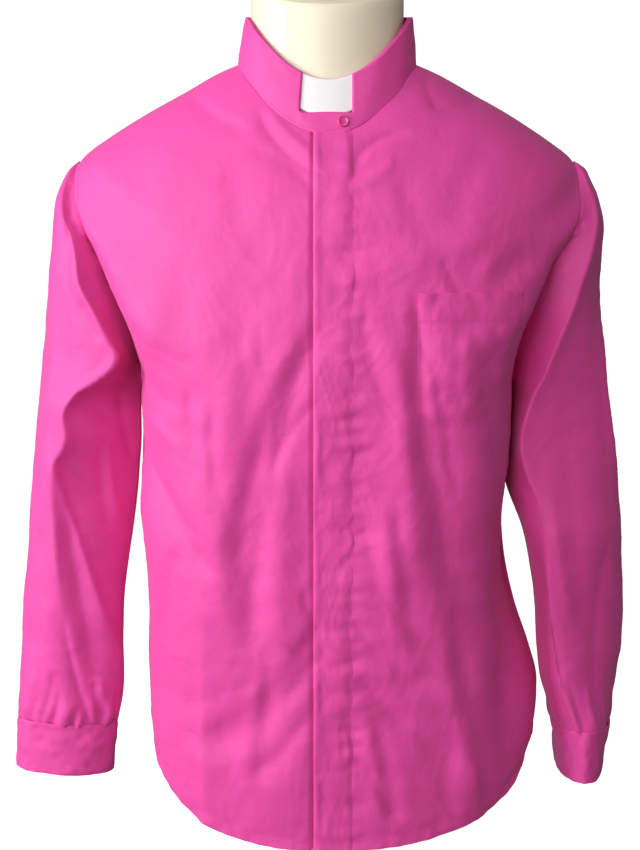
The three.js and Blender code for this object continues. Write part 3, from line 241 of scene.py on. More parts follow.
RIGHT_SLEEVE_FOLDS = Table(
    FOLD_COLUMNS,
    (-266, 478, -212, 285, 0, 6, 8, 5, 0.3, 1.5), (-258, 440, -236, 285, 0, 8, 11, -4, 0, 1.8),
    (-264, 500, -230, 458, 2, 5, 5, -2.6, 0.3, 1.4), (-218, 502, -212, 440, 1, 4, 5, 2, 0, 1.4),
    (-226, 500, -221, 430, 1, 5, 6, -2.2, 0, 1.6), (-264, 326, -242, 226, 2, 6, 7, -3.2, 0.3, 1.5),
    (-229, 266, -219, 226, 1, 5, 6, 2.4, 0, 1.5), (-236, 262, -230, 226, 1, 4, 4, -2, 0, 1.6),
    (-250, 740, -258, 556, 3, 8, 10, -3, 0, 1.8), (-286, 640, -292, 470, 2, 9, 9, -2.2, 0, 1.8),
    (-240, 566, -212, 536, 3, 5, 6, -2.6, 0.3, 1.4), (-206, 560, -196, 500, 2, 5, 6, -2.4, 0, 1.6),
    (-284, 430, -300, 300, 2, 8, 10, -2.2, 0, 1.8), (-278, 272, -284, 226, 1, 5, 5, -1.8, 0, 1.6),
    (-300, 268, -304, 226, 1, 5, 5, 1.4, 0, 1.6), (-236, 652, -222, 622, 2, 6, 6, -2, 0, 1.6),
)
LEFT_SLEEVE_FOLDS = Table(
    FOLD_COLUMNS,
    (207, 395, 240, 232, -4, 7, 8, -2.8, 0.2, 1.5), (229, 262, 246, 226, 0, 4, 4, -2.2, 0, 1.5),
    (244, 268, 258, 226, 0, 4, 4, -1.8, 0, 1.5), (262, 262, 268, 226, 0, 4, 4, 1.6, 0, 1.5),
    (280, 560, 288, 430, 2, 8, 9, -1, 0, 1.8), (240, 500, 262, 330, 3, 9, 12, -1.4, 0, 1.8),
    (222, 460, 240, 350, 2, 7, 8, 2.2, 0, 1.7), (262, 700, 258, 600, 2, 8, 9, 0.8, 0, 1.8),
    (280, 400, 270, 280, 2, 8, 9, -2.2, 0, 1.7),
)
SLEEVE_BACK_FOLDS = Table(
    FOLD_COLUMNS,
    (200, 560, 262, 480, 4, 7, 9, -3.4, 0.2, 1.5), (204, 520, 256, 440, 4, 7, 9, -2.6, 0.2, 1.5),
    (238, 690, 262, 540, 4, 9, 12, -3, 0, 1.8), (276, 560, 284, 380, 2, 9, 10, -2.6, 0, 1.8),
    (232, 420, 262, 250, 3, 8, 9, -3, 0.2, 1.6), (262, 280, 270, 226, 0, 5, 5, -2, 0, 1.6),
    (282, 276, 284, 226, 0, 5, 5, -1.8, 0, 1.6),
)
# Places down the fly where its stitches pull it in, with the half height and depth of each dip.
FLY_DIPS = Table(
    "z half h",
    (780, 8, -1.3), (754, 7, -1.1), (706, 7, -1), (650, 9, -0.7), (590, 9, -0.7),
    (552, 8, -0.9), (516, 9, -1.3), (475, 6, -1.1), (436, 10, -1.6), (406, 6, -1.2),
    (369, 5, -1.1), (340, 7, -0.9), (312, 7, -1.4), (278, 6, -1.2), (241, 9, -1.6),
    (205, 5, -1.2), (166, 7, -1.4),
)
FORM_RINGS = Table(
    "fy fz sx sy sz by bz power",
    (-51, 938, 72, 0, 950, 49, 962, 1), (-55, 932, 74.5, 0, 944, 51, 956, 1),
    (-56, 898, 74.5, 0, 915, 51, 925, 1), (-57.5, 868, 75.5, 0, 895, 52, 904, 1),
    (-66, 822, 80.5, 0, 878, 54, 880, 1), (-82, 786, 107.6, 2, 868.5, 68, 865, 0.92),
    (-92, 755, 140, 3, 850, 80, 843, 0.92), (-99, 724, 180, 4, 827, 91, 818, 0.92),
    (-103, 698, 209, 4, 804, 98, 793, 0.92), (-106, 676, 223, 4, 785, 101, 770, 0.92),
    (-107, 655, 227, 4, 762, 103, 744, 0.92), (-107, 630, 222, 4, 730, 105, 715, 0.92),
    (-108, 604, 213, 4, 695, 106, 684, 0.92), (-108, 575, 186, 4, 650, 105, 645, 0.92),
    (-107, 545, 171, 4, 600, 102, 600, 0.92), (-103, 505, 163, 3, 540, 98, 540, 0.92),
    (-97, 450, 156, 0, 470, 90, 470, 0.92), (-94, 400, 155, 0, 405, 86, 405, 0.92),
    (-95, 345, 160, 0, 345, 92, 345, 0.92), (-97, 290, 164, 0, 290, 98, 290, 0.92),
    (-96, 252, 163, 0, 252, 98, 252, 0.92), (-91, 244, 158, 0, 244, 93, 244, 0.92),
)


def lerp(a, b, t):
    return a + (b - a) * t


def smooth(t):
    t = np.clip(t, 0, 1)
    return t * t * (3 - 2 * t)


def bell(distance, width=1):
    return np.exp(-((distance / width) ** 2))


def unit(vectors):
    return vectors / np.maximum(np.linalg.norm(vectors, axis=-1, keepdims=True), 1e-9)


def turned(grid):
    """A grid with its rows and columns exchanged."""
    return grid.transpose(1, 0, 2)


def row_lengths(grid):
    """Lengths along each row of a grid, from its first column."""
    steps = np.linalg.norm(np.diff(grid, axis=1), axis=2)
    return np.hstack([np.zeros((len(grid), 1)), np.cumsum(steps, axis=1)])


def edge_distances(grid):
    """How far points lie from the first and last column, and the first and last row."""
    run, down = row_lengths(grid), row_lengths(turned(grid)).T
    return run, run[:, -1:] - run, down, down[-1:] - down


def points_at(places, run, line):
    """A line's points, or its normals, at places along it."""
    return np.stack([np.interp(places, run, line[:, k]) for k in range(3)], -1)


def spread(rows, columns):
    """Each row again, with its points spread evenly along it."""
    share = np.linspace(0, 1, columns + 1)
    pairs = zip(row_lengths(rows), rows)
    return np.array([points_at(share * run[-1], run, row) for run, row in pairs])


def normals(grid, out, closed=False):
    """Unit normals of a grid; out says which side is the outside."""
    around = np.roll(grid, -1, axis=1) - np.roll(grid, 1, axis=1) if closed else np.gradient(grid, axis=1)
    return unit(np.cross(around, np.gradient(grid, axis=0)) * out)


def off_line(line, x, z, past, fade):
    """Distances off a fold's line, its half width there, and its fading ends."""
    x0, z0, x1, z1, bow, w0, w1 = line
    dx, dz = x1 - x0, z1 - z0
    length = math.hypot(dx, dz)
    t = ((x - x0) * dx + (z - z0) * dz) / length**2
    off = ((x - x0) * dz - (z - z0) * dx) / length - bow * 4 * t * (1 - t)
    ends = smooth((t + past) / fade) * smooth((1 + past - t) / fade)
    return off, lerp(w0, w1, np.clip(t, 0, 1)), ends


def fold_height(table, x, z):
    """How far a table's folds move a point outwards."""
    total = np.zeros(np.shape(x))
    for *line, h, lean, power in table.rows():
        off, width, ends = off_line(line, x, z, 0.25, 0.35)
        width = width * np.where(off > 0, 1 + lean, 1 - lean)
        total += h * ends * np.exp(-np.abs(off / width) ** power)
    return total


def step_height(table, x, z):
    """The same for a table's steps."""
    total = np.zeros(np.shape(x))
    for *line, h in table.rows():
        off, width, ends = off_line(line, x, z, 0.2, 0.4)
        share = off / width
        total += 2.3 * h * ends * share * bell(share)
    return total


def crumple(x, z, wave, seed, count=16):
    """Even unevenness of about unit height and the given wavelength."""
    chance = np.random.default_rng(seed)
    turn, phase = chance.uniform(0, math.pi, count), chance.uniform(0, 2 * math.pi, count)
    k = 2 * math.pi / (wave * chance.uniform(0.6, 1.8, count))
    total = np.zeros(np.broadcast(x, z).shape)
    for a, p, each in zip(turn, phase, k):
        total += np.sin(each * (x * math.cos(a) + z * math.sin(a)) + p)
    return total / math.sqrt(count / 2)


def creased(x, z, wave, seed):
    """Small sharp creases between flatter patches."""
    bend = 0.35 * wave
    x2 = x + bend * crumple(x, z, wave * 1.7, seed + 1)
    z2 = z + bend * crumple(x, z, wave * 1.7, seed + 2)
    ridge = 1 - np.abs(crumple(x2, z2, wave, seed, 9))
    return np.clip(ridge, -0.6, 1) ** 3


def cloth_relief(x, z, seed):
    """The relief that all of the shirt's cloth has."""
    return (
        0.55 * crumple(x, z * 0.55, 70, seed)
        + 0.20 * crumple(x, z * 0.6, 28, seed + 3)
        + 0.46 * creased(x, z * 0.6, 46, seed + 5)
        + 0.20 * creased(x, z * 0.7, 19, seed + 9)
    )


def ring_end(side, place, back):
    """Where a panel's rings end: side +1 is the wearer's left."""
    place = np.asarray(place, float)
    across = "lx" if side > 0 else "rx"
    end = np.stack([FRONT_RINGS.at(column, place) for column in (across, "ey", "ez")], -1)
    end[..., 0] *= side
    if back:
        on_armhole = (place > TIP) & (place < UNDERARM)
        for k, column, front, sign in ((0, "ex", across, side), (1, "ey", "ey", 1)):
            values = FRONT_RINGS[front].copy()
            values[TIP + 1 : UNDERARM] = BACK_EDGE[column]
            end[..., k] = np.where(on_armhole, sign * between(values, place), end[..., k])
    return end


def rings(side, place, back):
    """Dense rings from the centre line to the panel's side."""
    table = BACK_RINGS if back else FRONT_RINGS
    y, z, turn, square, rise = (table.at(k, place)[:, None] for k in ("y", "z", "turn", "square", "rise"))
    end = ring_end(side, place, back)
    power = 2 / square
    most = np.minimum(1, turn) * math.pi / 2
    q = most * np.linspace(0, 1, RING_SAMPLES + 1)[None, :] ** RING_POWER["spacing"]
    across = np.sin(q) ** power / np.sin(most) ** power
    away = (1 - np.cos(q) ** power) / (1 - np.maximum(0, np.cos(most)) ** power)
    climb = lerp(away ** RING_POWER["climb"], across**2, rise)
    return np.stack([end[:, :1] * across, lerp(y, end[:, 1:2], away), lerp(z, end[:, 2:3], climb)], -1)


def even_places(first, last, count):
    """Places between two rings, spaced evenly down the cloth."""
    fine = np.linspace(first, last, 1200)
    middle = np.stack([FRONT_RINGS.at("y", fine), FRONT_RINGS.at("z", fine)], -1)
    step = sum(np.linalg.norm(np.diff(line, axis=0), axis=1) for line in (middle, ring_end(1, fine, False)))
    run = np.hstack([0, np.cumsum(step)])
    return np.interp(np.linspace(0, run[-1], count + 1), run, fine)


def seam_roll(distance):
    """How cloth dips into a seam."""
    return -0.15 * bell(distance, 1.6) + 0.2 * bell(distance - 5, 3)


def seam_calm(distance):
    """How the folds grow calm near a seam."""
    return smooth(distance / 12) ** 0.7


def tucked(grid, out, edges, reach=3, depth=1.1):
    """A grid with its edges carried on under what they are sewn to."""
    for edge in edges:
        up = normals(grid, out)
        if edge in ("top", "bottom"):
            grid, up = turned(grid), turned(up)
        near, next_one = (0, 2) if edge in ("first", "top") else (-1, -3)
        rim, along = grid[:, near], unit(grid[:, near] - grid[:, next_one])
        added = np.stack([rim + along * reach * share - up[:, near] * depth for share in (0.3, 1)], 1)
        grid = np.hstack([added[:, ::-1], grid] if near == 0 else [grid, added])
        if edge in ("top", "bottom"):
            grid = turned(grid)
    return grid


def fly_dip(z, x):
    """The dips along the fly's stitched edge."""
    away = np.where(x < FLY["stitch"], (FLY["stitch"] - x) / 24, (x - FLY["stitch"]) / 15)
    total = np.zeros(np.shape(z))
    for centre, half, h in FLY_DIPS.rows():
        drift = 5 * np.sin(centre) * away
        total += 1.3 * h * np.exp(-(np.abs((z - centre - drift) / half) ** 1.3))
    return total * bell(away) + 0.4 * crumple(x * 0.25, z, 16, 61) * np.exp(-(away**2) * 2)


def half_front(side, past, rows, columns):
    """One front's outer face before its folds."""
    half = rings(side, even_places(0, HEM, rows), False)
    mirrored = half[:, 40:0:-1] * (-1, 1, 1)
    made = []
    for row in np.hstack([mirrored, half]):
        row = row[side * row[:, 0] > -past]
        row = np.concatenate([[[-side * past, *row[0, 1:]]], row])
        made.append(spread(row[None], columns)[0])
    return np.array(made)


def front_relief(grid, seed):
    """All the folds of the fronts."""
    x, z = grid[..., 0], grid[..., 2]
    height = fold_height(FRONT_FOLDS, x, z)
    height += step_height(FRONT_STEPS, x, z)
    quiet = smooth((830 - z) / 150)
    return height + cloth_relief(x, z, seed) * lerp(0.25, 1, quiet) + fly_dip(z, x)


def shaped(grid, out, relief, seams=("last", "top"), hem=True):
    """A grid with relief, rolled seams and a turned hem, and its new normals."""
    first, last, top, bottom = edge_distances(grid)
    below_neck = smooth((790 - grid[..., 2]) / 40)
    for name, distance in (("first", first), ("last", last), ("top", top)):
        if name in seams:
            relief = relief * seam_calm(distance) + seam_roll(distance) * below_neck
    if hem:
        relief = relief + 0.5 * smooth((HEM_TURN - bottom) / 0.8 + 1) - 0.35 * bell(bottom - HEM_TURN, 0.9)
        relief = relief + 0.5 * crumple(first, bottom, 24, 83) * bell(bottom, 14)
    moved = grid + normals(grid, out) * relief[..., None]
    return moved, normals(moved, out)


def in_scene(name, data):
    obj = bpy.data.objects.new(name, data)
    bpy.context.scene.collection.objects.link(obj)
    return obj


def add_object(name, points, faces, material):
    """A smooth object from points in millimetres."""
    mesh = bpy.data.meshes.new(name)
    mesh.from_pydata((np.array(points).reshape(-1, 3) * MM).tolist(), [], faces)
    mesh.shade_smooth()
    mesh.materials.append(material)
    return in_scene(name, mesh)


def make_mesh(name, grid, material, closed=False):
    """An object from a grid, whose order turns its faces."""
    rows, columns = grid.shape[:2]
    at = np.arange(rows * columns).reshape(rows, columns)
    left, right = (at, np.roll(at, -1, axis=1)) if closed else (at[:, :-1], at[:, 1:])
    faces = np.stack([left[:-1], left[1:], right[1:], right[:-1]], -1).reshape(-1, 4)
    obj = add_object(name, grid, faces.tolist(), material)
    run, _, down, _ = edge_distances(grid)
    corners = (np.stack([run, down], -1).reshape(-1, 2) * MM)[faces]
    if closed:
        wrap = run[:, -1] + np.linalg.norm(grid[:, 0] - grid[:, -1], axis=1)
        last = np.arange(len(faces)).reshape(rows - 1, columns)[:, -1]
        corners[last, 2, 0] = wrap[1:] * MM
        corners[last, 3, 0] = wrap[:-1] * MM
    layer = obj.data.uv_layers.new(name="cloth")
    layer.data.foreach_set("uv", corners.reshape(-1).astype(np.float32))
    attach(obj, "root")
    return obj


def thicken(obj, thickness):
    shell = obj.modifiers.new("shell", "SOLIDIFY")
    shell.thickness = thickness * MM
    shell.offset = -1


def fine_edges(grid, width=0.3):
    """A grid with one more row or column close to each edge."""
    for _ in range(2):
        run = row_lengths(grid)
        first = grid[:, 0] + (grid[:, 1] - grid[:, 0]) * (width / run[:, 1])[:, None]
        last = grid[:, -1] + (grid[:, -2] - grid[:, -1]) * (width / (run[:, -1] - run[:, -2]))[:, None]
        parts = [grid[:, :1], first[:, None], grid[:, 1:-1], last[:, None], grid[:, -1:]]
        grid = turned(np.hstack(parts))
    return grid


def cloth_piece(name, grid, out, node, flat, held="draped", closed=False, thickness=CLOTH, area=None):
    """A thin shell of cloth that stands for a node."""
    if not closed:
        grid = fine_edges(grid)
    obj = make_mesh(name, grid if out < 0 else grid[:, ::-1], POPLIN, closed)
    thicken(obj, thickness)
    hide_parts(node)
    return obj


def stitches(name, lines):
    """Rows of stitches, each line given as points and normals."""
    points, faces = [], []
    sides, radius = STITCH["sides"], STITCH["radius"]
    angles = 2 * math.pi * np.arange(sides)[:, None] / sides
    for line, up in lines:
        run = row_lengths(line[None])[0]
        for k in range(int(run[-1] // STITCH["pitch"])):
            start = k * STITCH["pitch"]
            a, b = points_at([start, start + STITCH["length"]], run, line)
            along = unit(b - a)
            across = unit(np.cross(along, points_at(start, run, up)))
            lift = np.cross(across, along)
            ring = lift * (0.08 + radius * np.sin(angles)) + across * radius * np.cos(angles)
            first = len(points)
            last = first + 1 + 2 * sides
            points += [a - lift * 0.1, *(a + along * 0.35 + ring)]
            points += [*(b - along * 0.35 + ring), b - lift * 0.1]
            for s in range(sides):
                one, two = first + 1 + s, first + 1 + (s + 1) % sides
                faces.append((first, two, one))
                faces.append((one, two, two + sides, one + sides))
                faces.append((last, one + sides, two + sides))
    obj = add_object(name, points, faces, THREAD_MATERIAL)
    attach(obj, "root")
    return obj


def beside(grid, up, distance, edge):
    """The line at a distance from a grid's edge, with its normals."""
    if edge in ("top", "bottom"):
        grid, up = turned(grid), turned(up)
    line, ways = [], []
    for row, way, run in zip(grid, up, row_lengths(grid)):
        place = distance if edge in ("first", "top") else run[-1] - distance
        line.append(points_at(place, run, row))
        ways.append(points_at(place, run, way))
    return np.array(line), np.array(ways)


def fill(tree, shader, inputs):
    """Sets a shader node's inputs: sockets are linked, the rest are values."""
    for name, value in inputs.items():
        if isinstance(value, bpy.types.NodeSocket):
            tree.links.new(value, shader.inputs[name])
        else:
            shader.inputs[name].default_value = value
    return shader.outputs


def node(tree, kind, inputs=None, **settings):
    """A new shader node's outputs."""
    made = tree.nodes.new(kind)
    for name, value in settings.items():
        setattr(made, name, value)
    return fill(tree, made, inputs or {})


def maths(tree, operation, *values):
    return node(tree, "ShaderNodeMath", dict(enumerate(values)), operation=operation)[0]


def new_material(name):
    material = bpy.data.materials.new(name)
    material.use_nodes = True
    return material, material.node_tree, material.node_tree.nodes["Principled BSDF"]


def varied_colour(tree, bsdf, colour, low, high, scale, stretch=(1, 1, 1)):
    """The colour, a little darker and lighter from place to place."""
    place = node(tree, "ShaderNodeTexCoord")["Object"]
    place = node(tree, "ShaderNodeMapping", {"Vector": place, "Scale": stretch})[0]
    inputs = {"Vector": place, "Scale": scale, "Detail": 5, "Roughness": 0.6}
    noise = node(tree, "ShaderNodeTexNoise", inputs)["Fac"]
    dark, light = ((*[min(1, c * share) for c in colour], 1) for share in (low, high))
    mix = node(tree, "ShaderNodeMix", {"A": dark, "B": light, "Factor": noise}, data_type="RGBA")
    fill(tree, bsdf, {"Base Color": mix["Result"]})
    return noise


def bump(tree, height, strength, distance, **under):
    inputs = {"Height": height, "Strength": strength, "Distance": distance, **under}
    return node(tree, "ShaderNodeBump", inputs)[0]


def poplin():
    """Cotton poplin: fine crosswise ribs, small creases and a soft sheen."""
    material, tree, bsdf = new_material("poplin")
    varied_colour(tree, bsdf, FUCHSIA, 0.93, 1.07, 14)
    uv = node(tree, "ShaderNodeUVMap", uv_map="cloth")[0]
    split = node(tree, "ShaderNodeSeparateXYZ", {0: uv})
    warp, weft = (
        maths(tree, "SINE", maths(tree, "MULTIPLY", split[axis], 2 * math.pi / pitch))
        for axis, pitch in WEAVE.items()
    )
    weave = maths(tree, "ADD", maths(tree, "MULTIPLY", warp, weft), maths(tree, "MULTIPLY", weft, 0.5))
    place = node(tree, "ShaderNodeTexCoord")["Object"]
    inputs = {"Vector": place, "Scale": 70, "Detail": 4, "Roughness": 0.55, "Distortion": 0.6}
    crinkle = node(tree, "ShaderNodeTexNoise", inputs)["Fac"]
    looks = {
        "Roughness": 0.7,
        "Specular IOR Level": 1,
        "Sheen Weight": 0.2,
        "Sheen Roughness": 0.5,
        "Sheen Tint": (1, 0.72, 1, 1),
        "Normal": bump(tree, crinkle, 0.5, 0.0011, Normal=bump(tree, weave, 0.25, 0.00006)),
    }
    fill(tree, bsdf, looks)
    return material


def smooth_finish(name, colour, roughness, scale, depth, metallic=0, coat=0, stretch=(1, 1, 1)):
    """A hard finish, a little uneven in colour, gloss and surface."""
    material, tree, bsdf = new_material(name)
    noise = varied_colour(tree, bsdf, colour, 0.95, 1.04, scale, stretch)
    inputs = {"Value": noise, "To Min": roughness * 0.85, "To Max": roughness * 1.15}
    looks = {
        "Roughness": node(tree, "ShaderNodeMapRange", inputs)[0],
        "Normal": bump(tree, noise, 0.3, depth),
        "Metallic": metallic,
        "Coat Weight": coat,
    }
    fill(tree, bsdf, looks)
    return material


POPLIN = poplin()
THREAD_MATERIAL = smooth_finish("thread", THREAD, 0.6, 900, 0.0001)
CREAM_SHELL = smooth_finish("cream_shell", CREAM, 0.42, 60, 0.0002, coat=0.1)
WHITE_PLASTIC = smooth_finish("white_plastic", WHITE, 0.3, 40, 0.00005, coat=0.3)
DYED_BUTTON = smooth_finish("dyed_button", DYE, 0.3, 120, 0.00005, coat=0.4)
BRUSHED_STEEL = smooth_finish("brushed_steel", STEEL, 0.3, 30, 0.00002, metallic=1, stretch=(1, 1, 30))


def make_fronts():
    """Both fronts, and the stitches along their armholes and hems."""
    lines = []
    for which, side, past, seed, area in (
        ("right", -1, UNDERLAP["past"], 11, 0.185),
        ("left", 1, -FLY["left"], 23, 0.19),
    ):
        grid = half_front(side, past, 280, 100)
        grid, up = shaped(grid, -side, front_relief(grid, seed))
        if which == "right":
            under = (grid[..., 0] - UNDERLAP["start"]) / (UNDERLAP["full"] - UNDERLAP["start"])
            grid[..., 1] += UNDERLAP["set"] * smooth(under)
        whole = tucked(grid, -side, ["top"], depth=NECK_TUCK)
        cloth_piece("shirt_front_" + which, whole, -side, "front_" + which, (0.30, 0.80), area=area)
        lines += [beside(grid, up, ARMHOLE_STITCH, "last"), beside(grid, up, HEM_TURN, "bottom")]
    stitches("front_stitches", lines)
    return grid, up


def make_placket(left, up):
    """The fly's strip: a rolled free edge and a pulled-in stitched edge."""
    width = FLY["right"] - FLY["left"]
    share = np.hstack([np.linspace(0, 0.06, 7), np.linspace(0.075, 0.93, 34), np.linspace(0.945, 1, 6)])
    across = share * width
    inwards = width - across
    runs = row_lengths(left)
    strip, ways = (
        np.array([points_at(across, run, row) for run, row in zip(runs, grid)])
        for grid in (left, up)
    )
    z = strip[..., 2]
    ramp = 13 + 4 * crumple(z, 0, 45, 7)
    lift = -0.4 + (FLY["proud"] + 0.4) * smooth(inwards / ramp)
    lift -= 0.6 * bell(across, 0.7)
    lift -= 0.35 * bell(inwards - 2.4, 0.9)
    lift += 0.8 * bell(across - 3.5, 3.5) * (0.6 + 0.4 * crumple(z, 0, 90, 5))
    lift += 0.35 * crumple(across, z, 30, 44) * np.sin(math.pi * share) ** 0.5
    strip = strip + ways * lift[..., None]
    cloth_piece("fly_front", strip, -1, "placket", (0.045, 0.74), thickness=0.5)
    stitches("fly_stitches", [beside(strip, normals(strip, -1), EDGE_STITCH, "last")])


def make_pocket(left, up):
    """The breast pocket: a turned hem, stitched edges and a pen slot."""
    columns, rows = 52, 64
    grid, ways = [], []
    for z in lerp(POCKET["top"], POCKET["bottom"], np.arange(rows + 1) / rows):
        level, way = (
            np.array([points_at(z, left[::-1, j, 2], values[::-1, j]) for j in range(left.shape[1])])
            for values in (left, up)
        )
        run = row_lengths(level[None])[0]
        start = np.interp(POCKET["left"], level[:, 0], run)
        corner = POCKET["corner"] * max(0, 1 - (z - POCKET["bottom"]) / POCKET["corner"])
        want = start + np.linspace(corner, POCKET["width"] - corner, columns + 1)
        grid.append(points_at(want, run, level))
        ways.append(points_at(want, run, way))
    grid = np.array(grid)
    first, last, top, bottom = edge_distances(grid)
    edge = np.minimum(np.minimum(first, last), bottom)
    soft = smooth((634 - grid[..., 2]) / 30)
    lift = 0.08 + POCKET["proud"] * smooth(edge / lerp(4, 15, soft))
    lift -= 0.2 * (1 - soft) * bell(edge - EDGE_STITCH, 0.8)
    mouth = np.sin(math.pi * np.clip(first / (first + last), 0, 1)) ** 2
    lift += 0.9 * bell(top, 6) + 1.7 * bell(top, 9) * bell(first - 9, 7) + 1.5 * bell(top, 16) * mouth
    lift += 0.5 * smooth((POCKET["hem"] - top) / 0.8 + 1) - 0.3 * bell(top - POCKET["hem"], 0.9)
    lift += 0.3 * crumple(first, bottom, 26, 71) * smooth(edge / 5)
    grid = grid + np.array(ways) * lift[..., None]
    cloth_piece("breast_pocket", grid, -1, "pocket", (0.12, 0.16), area=0.0155, held="laid")
    ways = normals(grid, -1)
    lines = [beside(grid, ways, EDGE_STITCH, edge) for edge in ("first", "last", "bottom")]
    lines.append([values[: int(rows * 0.32)] for values in beside(grid, ways, POCKET["slot"], "first")])
    stitches("pocket_stitches", lines)


def make_back():
    """The back and the yoke, and their stitches."""

    def build(first, last, rows, columns):
        places = even_places(first, last, rows)
        left, right = rings(1, places, True), rings(-1, places, True)
        grid = spread(np.hstack([right[:, ::-1], left[:, 1:]]), columns)
        x, z = grid[..., 0], grid[..., 2]
        relief = fold_height(BACK_FOLDS, x, z)
        return grid, relief + cloth_relief(x, z, 37)

    seams = ("first", "last", "top")
    yoke, relief = build(0, YOKE_RING, 40, 150)
    yoke, up_yoke = shaped(yoke, 1, relief * 0.6, seams, hem=False)
    whole = tucked(tucked(yoke, 1, ["top"], depth=NECK_TUCK), 1, ["first", "last"])
    cloth_piece("shirt_yoke", whole, 1, "yoke", (0.50, 0.12), area=0.045)
    back, relief = build(YOKE_RING, HEM, 220, 150)
    back, up_back = shaped(back, 1, relief, seams)
    whole = tucked(back, 1, ["top", "first", "last"])
    cloth_piece("shirt_back", whole, 1, "back", (0.66, 0.80), area=0.42)
    lines = [beside(yoke, up_yoke, 2.5, "bottom"), beside(back, up_back, HEM_TURN, "bottom")]
    lines += [beside(back, up_back, ARMHOLE_STITCH, edge) for edge in ("first", "last")]
    stitches("back_stitches", lines)


def armhole(side, height, back):
    """The armhole's points at the given heights."""
    edge = ring_end(side, np.linspace(TIP, UNDERARM, 900), back)[::-1]
    return points_at(height, edge[:, 2], edge)


def quarter(start, end, crease, from_edge):
    """A quarter turn from start to end, as straight as the crease says."""
    t = np.linspace(0, 1, QUARTER + 1)[None, :]
    q = t * math.pi / 2
    crease = crease[:, None]
    slow, fast = lerp(1 - np.cos(q), t, crease), lerp(np.sin(q), t, crease)
    shares = (slow, fast, slow) if from_edge else (fast, slow, fast)
    return np.stack([lerp(start[:, k, None], end[:, k, None], shares[k]) for k in range(3)], -1)


def make_sleeve(which, side, table, folds):
    """A sleeve: rows from the armhole, or lower down its seam, and back to it."""
    flat, cuff = FLAT[which], CUFFS[which]
    last = len(table["ox"]) - 1
    fine = np.linspace(0, last, 800)
    depth = np.hstack([0, np.cumsum(np.abs(np.diff(table.at("oz", fine))) + 0.02)])
    place = np.interp(np.linspace(0, depth[-1], 211), depth, fine)
    outline_y = SLEEVE_OUTLINE["y"] - SLEEVE_OUTLINE["back"] * place
    outer = np.stack([table.at("ox", place), outline_y, table.at("oz", place)], -1)
    meets = between(table["inner"][:FREE], np.minimum(place, FREE - 1))
    front, back = armhole(side, meets, False), armhole(side, meets, True)
    under = ring_end(side, [UNDERARM], False)[0]
    for k, column in enumerate(("inner", "iy", "oz")):
        seam = between(np.append(under[k], table[column][FREE:]), np.maximum(place - FREE + 1, 0))
        for edge in (front, back):
            edge[:, k] = np.where(place > FREE - 1, seam, edge[:, k])

    def bend(letter, edge):
        """The line where the front or back turns outwards."""
        x, y = table.at(letter + "x", place), table.at(letter + "y", place)
        share = np.clip((x - outer[:, 0]) / (edge[:, 0] - outer[:, 0]), 0, 1)
        return np.stack([x, y, lerp(outer[:, 2], edge[:, 2], share)], -1)

    ridge, crown = bend("f", front), bend("b", back)
    crease = table.at("crease", place)
    seamy = 0.6 * np.clip((FREE - place) / 4, 0, 1)
    parts = [
        quarter(front, ridge, np.maximum(seamy, crease), True),
        quarter(ridge, outer, crease * flat, False)[:, 1:],
        quarter(outer, crown, 0 * crease, True)[:, 1:],
        quarter(crown, back, seamy, False)[:, 1:],
    ]
    dense = np.hstack(parts)
    lowest = cuff_edge(cuff, CUFF_TOP + 0.3, dense[..., 0])
    dense[..., 2] += (lowest - table["oz"][-1]) * smooth((place - (last - 3)) / 3)[:, None]
    ridge_at = row_lengths(dense)[:, QUARTER, None]
    grid = spread(dense, 124)
    x, y, z = grid.transpose(2, 0, 1)
    facing = normals(grid, -side)[..., 1]
    relief = fold_height(folds, x, z) * smooth(0.3 - 1.6 * facing)
    relief += fold_height(SLEEVE_BACK_FOLDS, np.abs(x), z) * smooth(0.3 + 1.6 * facing)
    relief += cloth_relief(y - x, z + side * 90, 50 + side)
    run, other, _, bottom = edge_distances(grid)
    gather = 0.9 * bell(bottom, 26) * crumple(run, bottom * 0.2, 13, 90 + side)
    relief += gather + 0.5 * bell(bottom - 13, 9)
    relief -= 0.2 * bell(bottom, 3)
    away = np.abs(run - ridge_at)
    sharp = lerp(4, 0, flat) * crease[:, None] * (np.exp(-((away / 6) ** 1.2)) - 0.3 * bell(away - 15, 8))
    relief += sharp * smooth(run / 10)
    relief *= seam_calm(run) * seam_calm(other)
    on_armhole = smooth((FREE - 0.5 - place) / 1)[:, None]
    relief += (seam_roll(run) + seam_roll(other)) * lerp(0.5, 1, on_armhole) * smooth((775 - z) / 30)
    puckers = 1.1 * crumple(z, run * 0.3, 11, 17) * bell(run - 4, 7) * on_armhole
    relief += puckers * smooth((745 - z) / 20)
    grid = grid + normals(grid, -side) * relief[..., None]
    grid = tucked(grid, -side, ["first", "last", "bottom"], 2.5, 0.45)
    name = "shirt_sleeve_" + which
    cloth_piece(name, grid, -side, "sleeve_" + which, (0.46, 0.60), held="hung", area=0.19)


def cuff_edge(cuff, z, x):
    return z + cuff["tilt"] * (x - cuff["x"])


